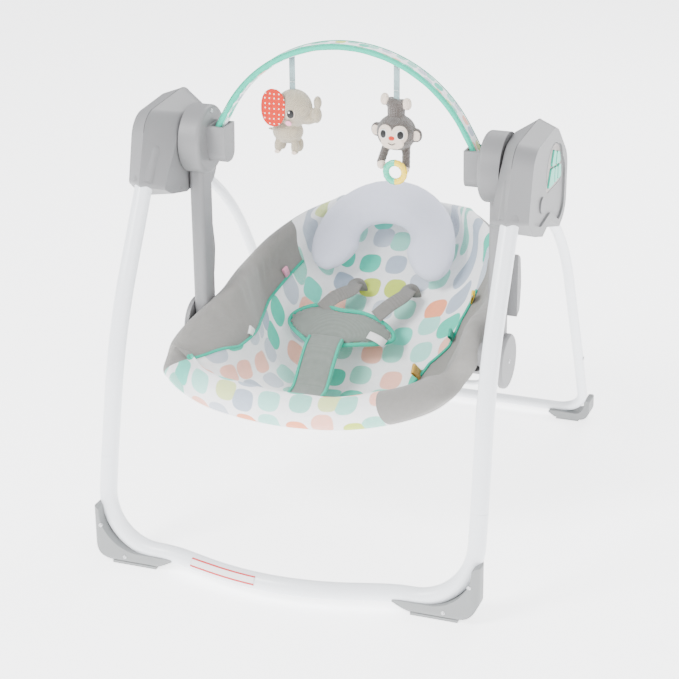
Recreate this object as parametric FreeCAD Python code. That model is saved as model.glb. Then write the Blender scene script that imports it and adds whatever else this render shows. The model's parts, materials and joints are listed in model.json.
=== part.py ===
"""Portable baby swing: folding tube frame, battery drive in the right hub, hanging seat and toy bar.

Millimetres, +Z up, +X to the right of a person facing the swing, the front faces -Y.
While it is drawn, y = 0 is the line of the hubs. save() moves each piece by TO_MIDDLE, so that
the finished model stands on z = 0 with its footprint centred on the origin.
"""
import FreeCAD, Part
import math
import os

V = FreeCAD.Vector
os.makedirs("parts", exist_ok=True)

# ---------------------------------------------------------------- driving dimensions
TO_MIDDLE = V(0, -63.6, 0)       # from the line of the hubs to the middle of the footprint
GAP = 0.3                        # between pieces of different bodies
FIT = 0.06                       # radial running clearance of pins and buttons
WALL = 3.0                       # moulded shells

AXLE_Y = -8.0                    # swing axis, above the feet and between the hubs
AXLE_Z = 562.0
AXLE_R = 5.0

HUB_IN = 241.0                   # hub housing, inboard face, seam and outboard face
HUB_SEAM = 270.0
HUB_OUT = 296.0

FRONT_TUBE_R = 12.7              # 25.4 mm tube
FRONT_TUBE_BORE = 11.4
FRONT_BAR_Z = 23.0
FRONT_X = 277.0                  # corner of the front U
FRONT_Y = -272.0
FRONT_BOW_Y = -325.0             # the tangents of the bowed bar meet here
FRONT_SEAM_Z = 151.0             # upper leg tube plugs into the base tube
FRONT_BENDS = [0, 84.0, 160.0, 374.0, 160.0, 84.0, 0]

REAR_TUBE_R = 8.0                # 16 mm tube
REAR_TUBE_BORE = 6.8
REAR_BAR_Z = 17.0
REAR_X = 257.0
REAR_Y = 430.0
REAR_SEAM_Z = 152.0
FOLD_Y = 46.0                    # hinge of the rear legs, inside the hubs
FOLD_Z = 506.0
FOLD_PIN_R = 4.0

DRUM_R = 50.0                    # swing drum against the hub
DRUM_OUT = 239.0
DRUM_IN = 207.0
ARM_X = 228.0                    # hanging arm
ARM_HALF_X = 11.0
ARM_HALF_Y = 18.0

SOCKET_X = 195.0                 # toy bar socket on the drum's inner face
SOCKET_TOP = 586.0
SOCKET_BOTTOM = 531.0
BAR_R = 208.0                    # outer radius of the toy bar's arch
BAR_HALF_W = 14.0
BAR_THICK = 12.0

PIVOT_Y = AXLE_Y                 # seat recline pivot at the foot of each arm
PIVOT_Z = 274.0
PIVOT_R = 44.0
RIM_TUBE_R = 7.0
SEAT_HALF = 196.0                # rim tube, beside the arms


# ---------------------------------------------------------------- drawing helpers
def save(name, shape):
    """Moves a finished shape to the model's own frame and writes its STEP file."""
    moved = shape.copy()
    moved.translate(TO_MIDDLE)
    if moved.isNull() or not moved.isValid():
        print("INVALID", name)
    moved.exportStep("parts/" + name + ".step")
    print(name, len(moved.Solids), "solids", round(moved.Volume / 1000.0, 1), "cm3")


def save_pair(name, right_shape):
    """Writes the right-hand piece and its mirror image."""
    save(name + "_right", right_shape)
    save(name + "_left", mirrored(right_shape))


def mirrored(shape):
    return shape.mirror(V(0, 0, 0), V(1, 0, 0))


def corner(before, point, after, radius):
    """Tangent points and middle of the arc that rounds one corner of a path."""
    u = (before - point).normalize()
    w = (after - point).normalize()
    half = u.getAngle(w) / 2.0
    reach = radius / math.tan(half)
    bisector = (u + w).normalize()
    middle = point + bisector * (radius / math.sin(half) - radius)
    return point + u * reach, middle, point + w * reach


def rounded_path(points, radii, closed=False):
    """Straight runs joined by tangent arcs. radii has one value for each point, 0 for a sharp one."""
    edges = []
    count = len(points)
    last = None
    first = None
    for i in range(count):
        is_end = not closed and i in (0, count - 1)
        if is_end or radii[i] == 0:
            start, middle, end = points[i], None, points[i]
        else:
            start, middle, end = corner(points[i - 1], points[i], points[(i + 1) % count], radii[i])
        if last is None:
            first = start
        elif (start - last).Length > 1e-4:
            edges.append(Part.LineSegment(last, start).toShape())
        if middle is not None:
            edges.append(Part.Arc(start, middle, end).toShape())
        last = end
    if closed:
        edges.append(Part.LineSegment(last, first).toShape())
    return Part.Wire(edges)


def rod(points, radii, radius):
    """Round bar along a rounded path."""
    path = rounded_path(points, radii)
    start = points[0]
    ring = Part.Wire(Part.makeCircle(radius, start, points[1] - start))
    return path.makePipeShell([ring], True, True)


def tube(points, radii, radius, bore):
    return rod(points, radii, radius).cut(rod(points, radii, bore))


def yz_face(outline, radii, x):
    points = [V(x, y, z) for y, z in outline]
    return Part.Face(rounded_path(points, radii, True))


def xz_face(outline, radii, y):
    points = [V(x, y, z) for x, z in outline]
    return Part.Face(rounded_path(points, radii, True))


def block(x0, x1, y0, y1, z0, z1):
    return Part.makeBox(x1 - x0, y1 - y0, z1 - z0, V(x0, y0, z0))


def x_cylinder(radius, x0, x1, y, z):
    return Part.makeCylinder(radius, x1 - x0, V(x0, y, z), V(1, 0, 0))


def rounded_block(x0, x1, y0, y1, z0, z1, radius):
    body = block(x0, x1, y0, y1, z0, z1)
    return body.makeFillet(radius, body.Edges)


def group(solids):
    return Part.makeCompound(solids)


def loft(wires):
    return Part.makeLoft(wires, True, True)


def spigot(start, down, bore, length):
    """Narrow sleeve that joins two tubes: fixed in the upper one, a sliding fit in the lower one."""
    fixed = Part.makeCylinder(bore + 0.3, 10.0, start, down * -1.0)
    free = Part.makeCylinder(bore - 0.15, length, start, down)
    inside = Part.makeCylinder(bore - 1.5, length + 20.0, start - down * 10.0, down)
    return fixed.fuse(free).cut(inside)


# ---------------------------------------------------------------- front U of the frame
def front_leg_points():
    """Centreline of the right front leg, from the base tube up into the hub."""
    return [
        V(276.6, -247.0, FRONT_SEAM_Z),
        V(273.0, -211.0, 330.0),
        V(270.0, -84.0, 560.0),
    ]


def front_base_points():
    foot_side = front_leg_points()[0]
    right = [
        foot_side,
        V(FRONT_X, FRONT_Y, FRONT_BAR_Z),
        V(168.0, FRONT_Y - 2.0, FRONT_BAR_Z),
    ]
    middle = [V(0, FRONT_BOW_Y, FRONT_BAR_Z)]
    left = [V(-p.x, p.y, p.z) for p in reversed(right)]
    return right + middle + left


def front_base():
    save("front_base_tube", tube(front_base_points(), FRONT_BENDS, FRONT_TUBE_R, FRONT_TUBE_BORE))


def front_legs():
    points = front_leg_points()
    clear = points[0] + (points[1] - points[0]).normalize() * 0.2
    leg = tube([clear] + points[1:], [0, 560.0, 0], FRONT_TUBE_R, FRONT_TUBE_BORE)
    down = (front_base_points()[1] - points[0]).normalize()
    save_pair("front_leg_tube", leg.fuse(spigot(points[0], down, FRONT_TUBE_BORE, 32.0)))


FOOT_Y0 = FRONT_Y - 17.0
FOOT_Y1 = FRONT_Y + 20.0


def front_foot():
    """Moulded shoe round the outside of the tube's bend, with a ribbed rubber sole."""
    outline = [
        (160.0, 20.0), (279.0, 20.0), (279.0, 83.0), (289.0, 87.0), (289.0, 4.0), (190.0, 4.0),
    ]
    radii = [2.0, 62.0, 1.0, 3.0, 34.0, 14.0]
    shoe = xz_face(outline, radii, FOOT_Y0).extrude(V(0, FOOT_Y1 - FOOT_Y0, 0))
    shoe = shoe.common(rounded_block(120.0, 289.0, FOOT_Y0, FOOT_Y1, 0.0, 100.0, 13.0))
    bend = rod(front_base_points(), FRONT_BENDS, FRONT_TUBE_R + 0.02)
    save_pair("front_foot", shoe.cut(bend))


def soles(name, x0, x1, y0, y1):
    right = block(x0, x1, y0, y1, 0.0, 4.0)
    save(name, group([right, mirrored(right)]))


# ---------------------------------------------------------------- rear U, folds about the hubs
def rear_leg_points():
    """Centreline of the right rear leg, from the base tube up into its knuckle."""
    slope = 0.598
    return [
        V(REAR_X + 5.0, REAR_Y - slope * (REAR_SEAM_Z - REAR_BAR_Z), REAR_SEAM_Z),
        V(268.0, 208.0, 388.0),
        V(266.0, FOLD_Y + 20.0, FOLD_Z - 14.0),
    ]


def rear_base_points():
    right = [rear_leg_points()[0], V(REAR_X, REAR_Y, REAR_BAR_Z)]
    left = [V(-p.x, p.y, p.z) for p in reversed(right)]
    return right + left


SNAP_R = 3.0
SNAP_Z = 140.0


def snap_button(radius):
    """Sprung pin that stands out of the rear leg's side just under the seam."""
    y = REAR_Y - 0.598 * (SNAP_Z - REAR_BAR_Z)
    return x_cylinder(radius, REAR_X + 7.5, REAR_X + REAR_TUBE_R + 6.0, y, SNAP_Z)


def snap_buttons():
    button = snap_button(SNAP_R)
    save_pair("snap_button", button.makeFillet(1.2, [button.Edges[0]]))


def snap_holes(shape):
    hole = snap_button(SNAP_R + 0.35)
    return shape.cut(hole).cut(mirrored(hole))


def rear_base():
    base = tube(rear_base_points(), [0, 48.0, 48.0, 0], REAR_TUBE_R, REAR_TUBE_BORE)
    save("rear_base_tube", snap_holes(base))


def rear_legs():
    points = rear_leg_points()
    clear = points[0] + (points[1] - points[0]).normalize() * 0.2
    leg = tube([clear] + points[1:], [0, 430.0, 0], REAR_TUBE_R, REAR_TUBE_BORE)
    down = (rear_base_points()[1] - points[0]).normalize()
    save_pair("rear_leg_tube", snap_holes(leg.fuse(spigot(points[0], down, REAR_TUBE_BORE, 40.0))))


def rear_foot():
    outline = [
        (195.0, 14.0), (211.0, 14.0), (251.0, 14.0), (260.0, 24.0), (260.0, 38.0),
        (269.0, 39.0), (269.0, 4.0), (211.0, 4.0),
    ]
    radii = [2.0, 0, 14.0, 10.0, 1.0, 3.0, 16.0, 8.0]
    shoe = xz_face(outline, radii, REAR_Y - 16.0).extrude(V(0, 34.0, 0))
    bend = rod(rear_base_points(), [0, 48.0, 48.0, 0], REAR_TUBE_R + 0.02)
    foot = shoe.cut(bend)
    save("rear_feet", group([foot, mirrored(foot)]))


KNUCKLE_IN = 255.0
KNUCKLE_OUT = 277.0


def rear_knuckle():
    """Plastic hinge block on the rear tube's top end, turning on the hub's fold pin."""
    disc = x_cylinder(21.0, KNUCKLE_IN, KNUCKLE_OUT, FOLD_Y, FOLD_Z)
    top = rear_leg_points()[2]
    along = (rear_leg_points()[1] - top).normalize()
    sleeve = Part.makeCylinder(10.5, 34.0, top - along * 12.0, along)
    tube_end = Part.makeCylinder(REAR_TUBE_R + 0.02, 60.0, top, along)
    pin = x_cylinder(FOLD_PIN_R + FIT, KNUCKLE_IN, KNUCKLE_OUT, FOLD_Y, FOLD_Z)
    knuckle = disc.fuse(sleeve).cut(tube_end).cut(pin)
    save("rear_knuckles", group([knuckle, mirrored(knuckle)]))


# ---------------------------------------------------------------- hubs
HUB_RADII = [6.0, 38.0, 46.0, 40.0, 34.0, 18.0, 20.0, 6.0, 6.0]
OUTLINE_MID = [
    (-127.0, 519.0), (-96.0, 616.0), (40.0, 626.0), (106.0, 566.0), (104.0, 474.0),
    (62.0, 454.0), (12.0, 487.0), (-35.0, 481.0), (-86.0, 494.0),
]
OUTLINE_IN = [
    (-104.0, 510.0), (-34.0, 600.0), (30.0, 610.0), (80.0, 560.0), (80.0, 484.0),
    (54.0, 470.0), (12.0, 490.0), (-28.0, 485.0), (-78.0, 496.0),
]
OUTLINE_OUT = [
    (-106.0, 516.0), (-84.0, 608.0), (34.0, 617.0), (98.0, 558.0), (96.0, 476.0),
    (60.0, 460.0), (12.0, 487.0), (-30.0, 475.0), (-72.0, 488.0),
]
DISH = [
    (-88.0, 511.0), (-24.0, 594.0), (34.0, 596.0), (86.0, 549.0), (84.0, 484.0),
    (58.0, 472.0), (10.0, 498.0), (-40.0, 492.0),
]
DISH_RADII = [14.0, 60.0, 42.0, 35.0, 25.0, 15.0, 20.0, 15.0]
DISH_DEPTH = 3.0
END_WALL = 9.0                   # thick outboard wall, so that the dish can be cut into it
SCREWS = [(-50.0, 497.0), (-34.0, 545.0), (27.0, 592.0)]


def toward_middle(outline, inset):
    """The same outline drawn in by about one wall thickness."""
    middle_y, middle_z = 0.0, 540.0
    result = []
    for y, z in outline:
        away = math.hypot(y - middle_y, z - middle_z)
        scale = (away - 1.35 * inset) / away
        result.append((middle_y + (y - middle_y) * scale, middle_z + (z - middle_z) * scale))
    return result


def hub_solid(outline_a, x_a, outline_b, x_b, inset=0.0):
    wires = []
    for outline, x in ((outline_a, x_a), (outline_b, x_b)):
        drawn = toward_middle(outline, inset)
        radii = [max(r - inset, 2.0) for r in HUB_RADII]
        wires.append(rounded_path([V(x, y, z) for y, z in drawn], radii, True))
    return loft(wires)


def hub_openings():
    """Mouth for the front tube and the slot that the rear leg folds through."""
    points = front_leg_points()
    along = (points[1] - points[2]).normalize()
    mouth = Part.makeCylinder(FRONT_TUBE_R + 0.02, 150.0, points[2] - along * 0.5, along)
    slot = yz_face([(22.0, 490.0), (60.0, 540.0), (170.0, 490.0), (170.0, 420.0), (22.0, 420.0)],
                   [0] * 5, KNUCKLE_IN - 2.5)
    return mouth.fuse(slot.extrude(V(KNUCKLE_OUT - KNUCKLE_IN + 5.0, 0, 0)))


def leg_sleeve(x0, x1):
    """Thick sleeve round the front tube, down to the mouth of the hub; each half takes its side."""
    points = front_leg_points()
    along = (points[1] - points[2]).normalize()
    sleeve = Part.makeCylinder(16.4, 48.0, points[2], along)
    sleeve = sleeve.fuse(Part.makeSphere(16.4, points[2]))
    return sleeve.common(block(x0, x1, -200.0, 0.0, 450.0, 620.0))


def screw_cylinders(radius, x0, x1):
    shape = None
    for y, z in SCREWS:
        post = x_cylinder(radius, x0, x1, y, z)
        shape = post if shape is None else shape.fuse(post)
    return shape


def hub_shells():
    inner = hub_solid(OUTLINE_IN, HUB_IN, OUTLINE_MID, HUB_SEAM)
    inner = inner.cut(hub_solid(OUTLINE_IN, HUB_IN + WALL, OUTLINE_MID, HUB_SEAM + 0.01, WALL))
    inner = inner.fuse(x_cylinder(12.0, HUB_IN + 1.0, HUB_SEAM, AXLE_Y, AXLE_Z))
    inner = inner.fuse(screw_cylinders(5.0, HUB_IN + 1.0, HUB_SEAM))
    inner = inner.fuse(leg_sleeve(HUB_IN + 1.0, HUB_SEAM))
    outer = hub_solid(OUTLINE_MID, HUB_SEAM + 0.02, OUTLINE_OUT, HUB_OUT)
    outer = outer.cut(hub_solid(OUTLINE_MID, HUB_SEAM, OUTLINE_OUT, HUB_OUT - END_WALL, WALL))
    outer = outer.fuse(screw_cylinders(5.0, HUB_SEAM + 0.02, HUB_OUT - END_WALL + 1.0))
    outer = outer.fuse(leg_sleeve(HUB_SEAM + 0.02, HUB_OUT - 1.0))
    openings = hub_openings().fuse(screw_cylinders(2.0, HUB_IN - 1.0, HUB_OUT - END_WALL - 2.0))
    fold_hole = x_cylinder(FOLD_PIN_R, HUB_IN + 1.0, HUB_OUT - 5.0, FOLD_Y, FOLD_Z)
    openings = openings.fuse(fold_hole)
    axle_hole = x_cylinder(AXLE_R, HUB_IN - 5.0, HUB_SEAM + 8.0, AXLE_Y, AXLE_Z)
    dish = yz_face(DISH, DISH_RADII, HUB_OUT - DISH_DEPTH).extrude(V(10.0, 0, 0))
    outer = outer.cut(openings).cut(dish).cut(release_hole())
    inner = inner.cut(openings).cut(axle_hole)
    save_pair("hub_inner_shell", max(inner.Solids, key=lambda solid: solid.Volume))
    save("hub_outer_shell_left", mirrored(outer.cut(door_plate(0.1, 10.0))))
    save("hub_outer_shell_right", outer.cut(panel_plate(0.05, 10.0)))


def hub_pins():
    """Steel axles of the swing arms, the pins that the rear legs fold on, and the case screws."""
    axle = x_cylinder(AXLE_R - 0.01, DRUM_IN + 4.0, HUB_SEAM - 2.0, AXLE_Y, AXLE_Z)
    save("swing_axles", group([axle, mirrored(axle)]))
    pin = x_cylinder(FOLD_PIN_R - 0.01, HUB_IN + 1.5, HUB_OUT - 5.5, FOLD_Y, FOLD_Z)
    save("fold_pins", group([pin, mirrored(pin)]))
    screws = []
    for y, z in SCREWS:
        screw = x_cylinder(1.98, HUB_IN + 0.5, HUB_OUT - END_WALL - 3.0, y, z)
        screws += [screw, mirrored(screw)]
    save("hub_screws", group(screws))


# ---------------------------------------------------------------- control panel and its buttons
PANEL_Y = 34.0
PANEL_Z = 556.0
PANEL_IN = HUB_OUT - 8.0
PANEL_FACE = HUB_OUT - 3.5
BUTTON_GAP = 0.5
BUTTON_OUTLINES = {
    "power": [(-36.0, -22.0), (-21.0, 3.0), (-4.0, 1.0), (-5.0, -22.0)],
    "speed": [(-20.0, 6.0), (-8.0, 27.0), (5.0, 22.0), (-1.0, 4.0)],
    "timer": [(9.0, 21.0), (22.0, 17.0), (29.0, 1.0), (4.0, 3.0)],
    "melody": [(-1.0, 0.0), (12.0, -1.0), (12.0, -22.0), (-2.0, -22.0)],
    "volume": [(16.0, -1.0), (30.0, -3.0), (33.0, -21.0), (16.0, -22.0)],
}


def panel_plate(grow, extra=0.0):
    """Egg-shaped plate, let into the dish of the right hub."""
    y0, y1 = PANEL_Y - 48.0 - grow, PANEL_Y + 46.0 + grow
    z0, z1 = PANEL_Z - 28.0 - grow, PANEL_Z + 34.0 + grow
    face = yz_face([(y0, z0), (PANEL_Y - 24.0, z1), (PANEL_Y + 28.0, z1 - 3.0), (y1, z0)],
                   [12.0, 24.0, 26.0, 14.0], PANEL_IN - extra)
    return face.extrude(V(PANEL_FACE - PANEL_IN + 2.0 * extra, 0, 0))


def button_face(outline, grow, x):
    middle_y = sum(y for y, z in outline) / len(outline)
    middle_z = sum(z for y, z in outline) / len(outline)
    points = []
    for y, z in outline:
        away = math.hypot(y - middle_y, z - middle_z)
        scale = (away + 1.5 * grow) / away
        points.append((PANEL_Y + middle_y + (y - middle_y) * scale,
                       PANEL_Z + middle_z + (z - middle_z) * scale))
    return yz_face(points, [3.5] * len(points), x)


def control_panel():
    plate = panel_plate(0.0)
    for name, outline in BUTTON_OUTLINES.items():
        hole = button_face(outline, BUTTON_GAP, PANEL_IN - 1.0)
        plate = plate.cut(hole.extrude(V(12.0, 0, 0)))
        cap = button_face(outline, 0.0, PANEL_IN - 1.0)
        save("button_" + name, cap.extrude(V(HUB_OUT - PANEL_IN, 0, 0)))
    save("control_panel", plate)
    board = block(PANEL_IN - 6.5, PANEL_IN - 4.9, PANEL_Y - 26.0, PANEL_Y + 26.0,
                  PANEL_Z - 26.0, PANEL_Z + 26.0)
    save("control_board", board)


# ---------------------------------------------------------------- release buttons, drive and batteries
RELEASE_Y = -30.0
RELEASE_Z = 520.0
COIL_Y = AXLE_Y + 2.0
COIL_Z = AXLE_Z - 34.0
CELL_R = 7.1
CELL_LENGTH = 50.5


def release_hole():
    return x_cylinder(11.5, HUB_OUT - 12.0, HUB_OUT + 5.0, RELEASE_Y, RELEASE_Z)


def release_buttons():
    """Sprung buttons that free the rear legs."""
    cap = x_cylinder(11.0, HUB_OUT - 11.0, HUB_OUT - 0.5, RELEASE_Y, RELEASE_Z)
    save_pair("leg_release_button", cap)


def drive():
    """Electromagnet in the right hub, the magnet it pulls on in the swing drum, and the speaker."""
    back = HUB_IN + WALL + 0.1
    coil = x_cylinder(11.0, back, HUB_IN + 13.0, COIL_Y, COIL_Z)
    core = x_cylinder(3.95, back, HUB_IN + 16.0, COIL_Y, COIL_Z)
    coil = coil.cut(x_cylinder(4.0, HUB_IN, HUB_SEAM, COIL_Y, COIL_Z))
    save("drive_electromagnet", group([coil, core]))
    save("speaker", x_cylinder(14.0, back, HUB_IN + 12.0, AXLE_Y + 38.0, AXLE_Z - 2.0))
    save("drive_magnet", x_cylinder(8.9, DRUM_OUT - 7.9, DRUM_OUT - 0.3, COIL_Y, COIL_Z))


def door_plate(grow, extra=0.0):
    return block(HUB_OUT - 7.0 - extra, HUB_OUT - DISH_DEPTH - 0.2 + extra,
                 0.0 - grow, 60.0 + grow, 536.0 - grow, 566.0 + grow)


def batteries():
    """Four cells in the left hub behind a screwed door."""
    cells = []
    for x in (-260.0, -275.0):
        for z in (550.0, 565.0):
            cells.append(Part.makeCylinder(CELL_R, CELL_LENGTH, V(x, 8.0, z), V(0, 1, 0)))
    save("battery_cells", group(cells))
    save("battery_door", mirrored(door_plate(0.0)))


# ---------------------------------------------------------------- swing: drums, arms and sockets
def rim_edges(shape, x):
    """Round edges of a shape that lie in the plane at x."""
    return [e for e in shape.Edges if e.BoundBox.XLength < 1e-3 and abs(e.BoundBox.XMax - x) < 1e-3]


def swing_arms():
    drum = x_cylinder(DRUM_R, DRUM_IN, DRUM_OUT, AXLE_Y, AXLE_Z)
    drum = drum.makeFillet(6.0, rim_edges(drum, DRUM_IN))
    top = AXLE_Z - 30.0
    outline = [(PIVOT_Y - ARM_HALF_Y, PIVOT_Z), (PIVOT_Y - ARM_HALF_Y - 1.0, top),
               (PIVOT_Y + ARM_HALF_Y + 1.0, top), (PIVOT_Y + ARM_HALF_Y, PIVOT_Z)]
    stem = yz_face(outline, [0] * 4, ARM_X - ARM_HALF_X).extrude(V(2 * ARM_HALF_X, 0, 0))
    stem = stem.makeFillet(7.0, [e for e in stem.Edges if e.BoundBox.ZLength > 100.0])
    lug = x_cylinder(ARM_HALF_Y + 4.0, ARM_X - ARM_HALF_X, ARM_X + ARM_HALF_X, PIVOT_Y, PIVOT_Z)
    arm = drum.fuse(stem).fuse(lug)
    arm = arm.cut(x_cylinder(AXLE_R + 3.0, DRUM_IN + 3.0, DRUM_OUT + 1.0, AXLE_Y, AXLE_Z))
    arm = arm.cut(x_cylinder(5.0, ARM_X - 20.0, ARM_X + 20.0, PIVOT_Y, PIVOT_Z))
    magnet_hole = x_cylinder(9.0, DRUM_OUT - 8.0, DRUM_OUT + 1.0, COIL_Y, COIL_Z)
    save("swing_arm_left", mirrored(arm))
    save("swing_arm_right", arm.cut(magnet_hole))
    bush = x_cylinder(AXLE_R + 2.98, DRUM_IN + 3.1, DRUM_OUT, AXLE_Y, AXLE_Z)
    bush = bush.cut(x_cylinder(AXLE_R + FIT, DRUM_IN, DRUM_OUT + 1.0, AXLE_Y, AXLE_Z))
    save("drum_bushes", group([bush, mirrored(bush)]))


def arm_covers():
    """Half-oval cover on the back of each arm, and the round cap over the seat pivot."""
    y0 = PIVOT_Y + ARM_HALF_Y + 1.5
    outline = [(y0, 336.0), (y0 + 14.0, 342.0), (y0 + 20.0, 382.0), (y0 + 13.0, 422.0), (y0, 430.0)]
    rear = yz_face(outline, [0, 10.0, 60.0, 10.0, 0], ARM_X - 2.0).extrude(V(25.0, 0, 0))
    save("arm_rear_covers", group([rear, mirrored(rear)]))
    face = ARM_X + ARM_HALF_X
    cap = x_cylinder(PIVOT_R - 4.0, face + 0.02, face + 8.0, PIVOT_Y, PIVOT_Z)
    cap = cap.makeFillet(4.0, rim_edges(cap, face + 8.0))
    cap = cap.cut(x_cylinder(5.0, ARM_X, face + 5.0, PIVOT_Y, PIVOT_Z))
    save("arm_end_caps", group([cap, mirrored(cap)]))
    pin = x_cylinder(4.98, SEAT_HALF + 9.0, face + 4.5, PIVOT_Y, PIVOT_Z)
    save("seat_pivot_pins", group([pin, mirrored(pin)]))


def sockets():
    """U-shaped pockets that the ends of the toy bar drop into."""
    x0, x1 = SOCKET_X - 15.0, DRUM_IN - 0.02
    outline = [(AXLE_Y - 20.0, SOCKET_TOP), (AXLE_Y + 20.0, SOCKET_TOP),
               (AXLE_Y + 18.0, SOCKET_BOTTOM), (AXLE_Y - 18.0, SOCKET_BOTTOM)]
    body = yz_face(outline, [1.0, 1.0, 15.0, 15.0], x0).extrude(V(x1 - x0, 0, 0))
    pocket = block(SOCKET_X - 11.8, SOCKET_X + 7.5, AXLE_Y - 15.5, AXLE_Y + 15.5,
                   SOCKET_BOTTOM + 12.0, SOCKET_TOP + 5.0)
    socket = body.cut(pocket)
    save("toy_bar_sockets", group([socket, mirrored(socket)]))


# ---------------------------------------------------------------- seat
def seat_rim():
    """Two U-shaped rods of the seat, plugged into a bracket beside each arm."""
    front = [V(SEAT_HALF, PIVOT_Y - 8.0, PIVOT_Z - 4.0), V(226.0, -84.0, 254.0),
             V(150.0, -166.0, 212.0)]
    front += [V(-p.x, p.y, p.z) for p in reversed(front)]
    save("seat_front_rim", rod(front, [0, 60.0, 150.0, 150.0, 60.0, 0], RIM_TUBE_R))
    back = [V(SEAT_HALF, PIVOT_Y + 8.0, PIVOT_Z + 4.0), V(194.0, 150.0, 350.0),
            V(96.0, 294.0, 418.0)]
    back += [V(-p.x, p.y, p.z) for p in reversed(back)]
    save("seat_back_rim", rod(back, [0, 230.0, 140.0, 140.0, 230.0, 0], RIM_TUBE_R))


def seat_brackets():
    """Moulded bracket that joins both rims and turns on the pivot pin."""
    plate = x_cylinder(24.0, SEAT_HALF - 9.0, ARM_X - ARM_HALF_X - 0.6, PIVOT_Y, PIVOT_Z)
    pin = x_cylinder(4.98 + FIT, SEAT_HALF + 8.5, ARM_X, PIVOT_Y, PIVOT_Z)
    front = Part.makeCylinder(RIM_TUBE_R + 0.02, 60.0, V(SEAT_HALF, PIVOT_Y - 8.0, PIVOT_Z - 4.0),
                              V(30.0, -68.0, -16.0))
    back = Part.makeCylinder(RIM_TUBE_R + 0.02, 60.0, V(SEAT_HALF, PIVOT_Y + 8.0, PIVOT_Z + 4.0),
                             V(-2.0, 150.0, 72.0))
    bracket = plate.cut(pin).cut(front).cut(back)
    save("seat_brackets", group([bracket, mirrored(bracket)]))


def recline_wire():
    """Wire under the seat that props the back, with a moulded grip in the middle."""
    points = [V(196.0, 60.0, 291.0), V(176.0, 120.0, 176.0)]
    points += [V(-p.x, p.y, p.z) for p in reversed(points)]
    save("recline_wire", rod(points, [0, 30.0, 30.0, 0], 4.0))
    grip = block(-40.0, 40.0, 112.0, 128.0, 168.0, 184.0)
    save("recline_grip", grip.cut(x_cylinder(4.02, -50.0, 50.0, 120.0, 176.0)))


def soft_seat():
    """Plain closed solids for the padded cover: base, front roll, back and the two side wings."""
    base = [(-60.0, 172.0), (66.0, 150.0), (62.0, 128.0), (-60.0, 150.0)]
    save("seat_base_pad", yz_face(base, [4.0] * 4, -140.0).extrude(V(280.0, 0, 0)))
    plan = [V(-176.0, -64.0, 172.0), V(176.0, -64.0, 172.0), V(150.0, -146.0, 172.0), V(-150.0, -146.0, 172.0)]
    front = Part.Face(rounded_path(plan, [6.0, 6.0, 60.0, 60.0], True)).extrude(V(0, 0, 24.0))
    front.rotate(V(0, -64.0, 172.0), V(1, 0, 0), -17.0)
    save("seat_front_pad", front)
    back = [(72.0, 156.0), (256.0, 360.0), (238.0, 376.0), (62.0, 182.0)]
    save("seat_back_pad", yz_face(back, [5.0] * 4, -124.0).extrude(V(248.0, 0, 0)))
    save_pair("seat_side_wing", wing_solid())


def wing_solid():
    """Side of the bucket: a slanted slab from the base and back pads up to the rim."""
    inner = [V(143.0, -50.0, 160.0), V(143.0, 66.0, 150.0), V(128.0, 225.0, 350.0),
             V(166.0, 150.0, 344.0), V(172.0, -52.0, 262.0)]
    outward = V(9.0, 0, -7.0)
    faces = []
    outer = [p + outward for p in inner]
    middle_in = V(158.0, 60.0, 258.0)
    middle_out = middle_in + outward
    count = len(inner)
    for i in range(count):
        k = (i + 1) % count
        faces.append(Part.Face(Part.makePolygon([inner[i], inner[k], middle_in, inner[i]])))
        faces.append(Part.Face(Part.makePolygon([outer[i], middle_out, outer[k], outer[i]])))
        faces.append(Part.Face(Part.makePolygon([inner[i], outer[i], inner[k], inner[i]])))
        faces.append(Part.Face(Part.makePolygon([inner[k], outer[i], outer[k], inner[k]])))
    solid = Part.Solid(Part.Shell(faces))
    if solid.Volume < 0:
        solid.reverse()
    return solid


BACK_TILT = 47.8                 # slope of the seat's back


def head_pillow():
    """U-shaped pillow that rests on the seat's back."""
    pillow = rounded_block(-104.0, 104.0, -58.0, 58.0, 0.0, 30.0, 13.0)
    notch = block(-40.0, 40.0, -80.0, -4.0, -5.0, 60.0)
    pillow = pillow.cut(notch)
    pillow.rotate(V(0, 0, 0), V(1, 0, 0), BACK_TILT)
    pillow.translate(V(-8.0, 218.0, 357.5))
    save("head_pillow", pillow)


def harness():
    """Waist pad on its crotch strap, lying in the seat."""
    pad = rounded_block(-84.0, 84.0, -29.0, 29.0, 0.0, 11.0, 5.0)
    pad.rotate(V(0, 0, 0), V(1, 0, 0), 40.0)
    pad.translate(V(-22.0, 70.0, 252.0))
    save("waist_pad", pad)
    strap = [(-22.0, 166.5), (-10.0, 165.0), (14.0, 206.0), (44.0, 230.0), (40.0, 238.0), (6.0, 212.0)]
    save("crotch_strap", yz_face(strap, [0] * 6, -46.0).extrude(V(48.0, 0, 0)))


# ---------------------------------------------------------------- toy bar and toys
PEG_BOTTOM = 546.0
ELEPHANT_X = -80.0
MONKEY_X = 76.0
HANG_Z = 657.0                   # where each toy swings on its strap
STRAP_GAP = 1.0


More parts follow.
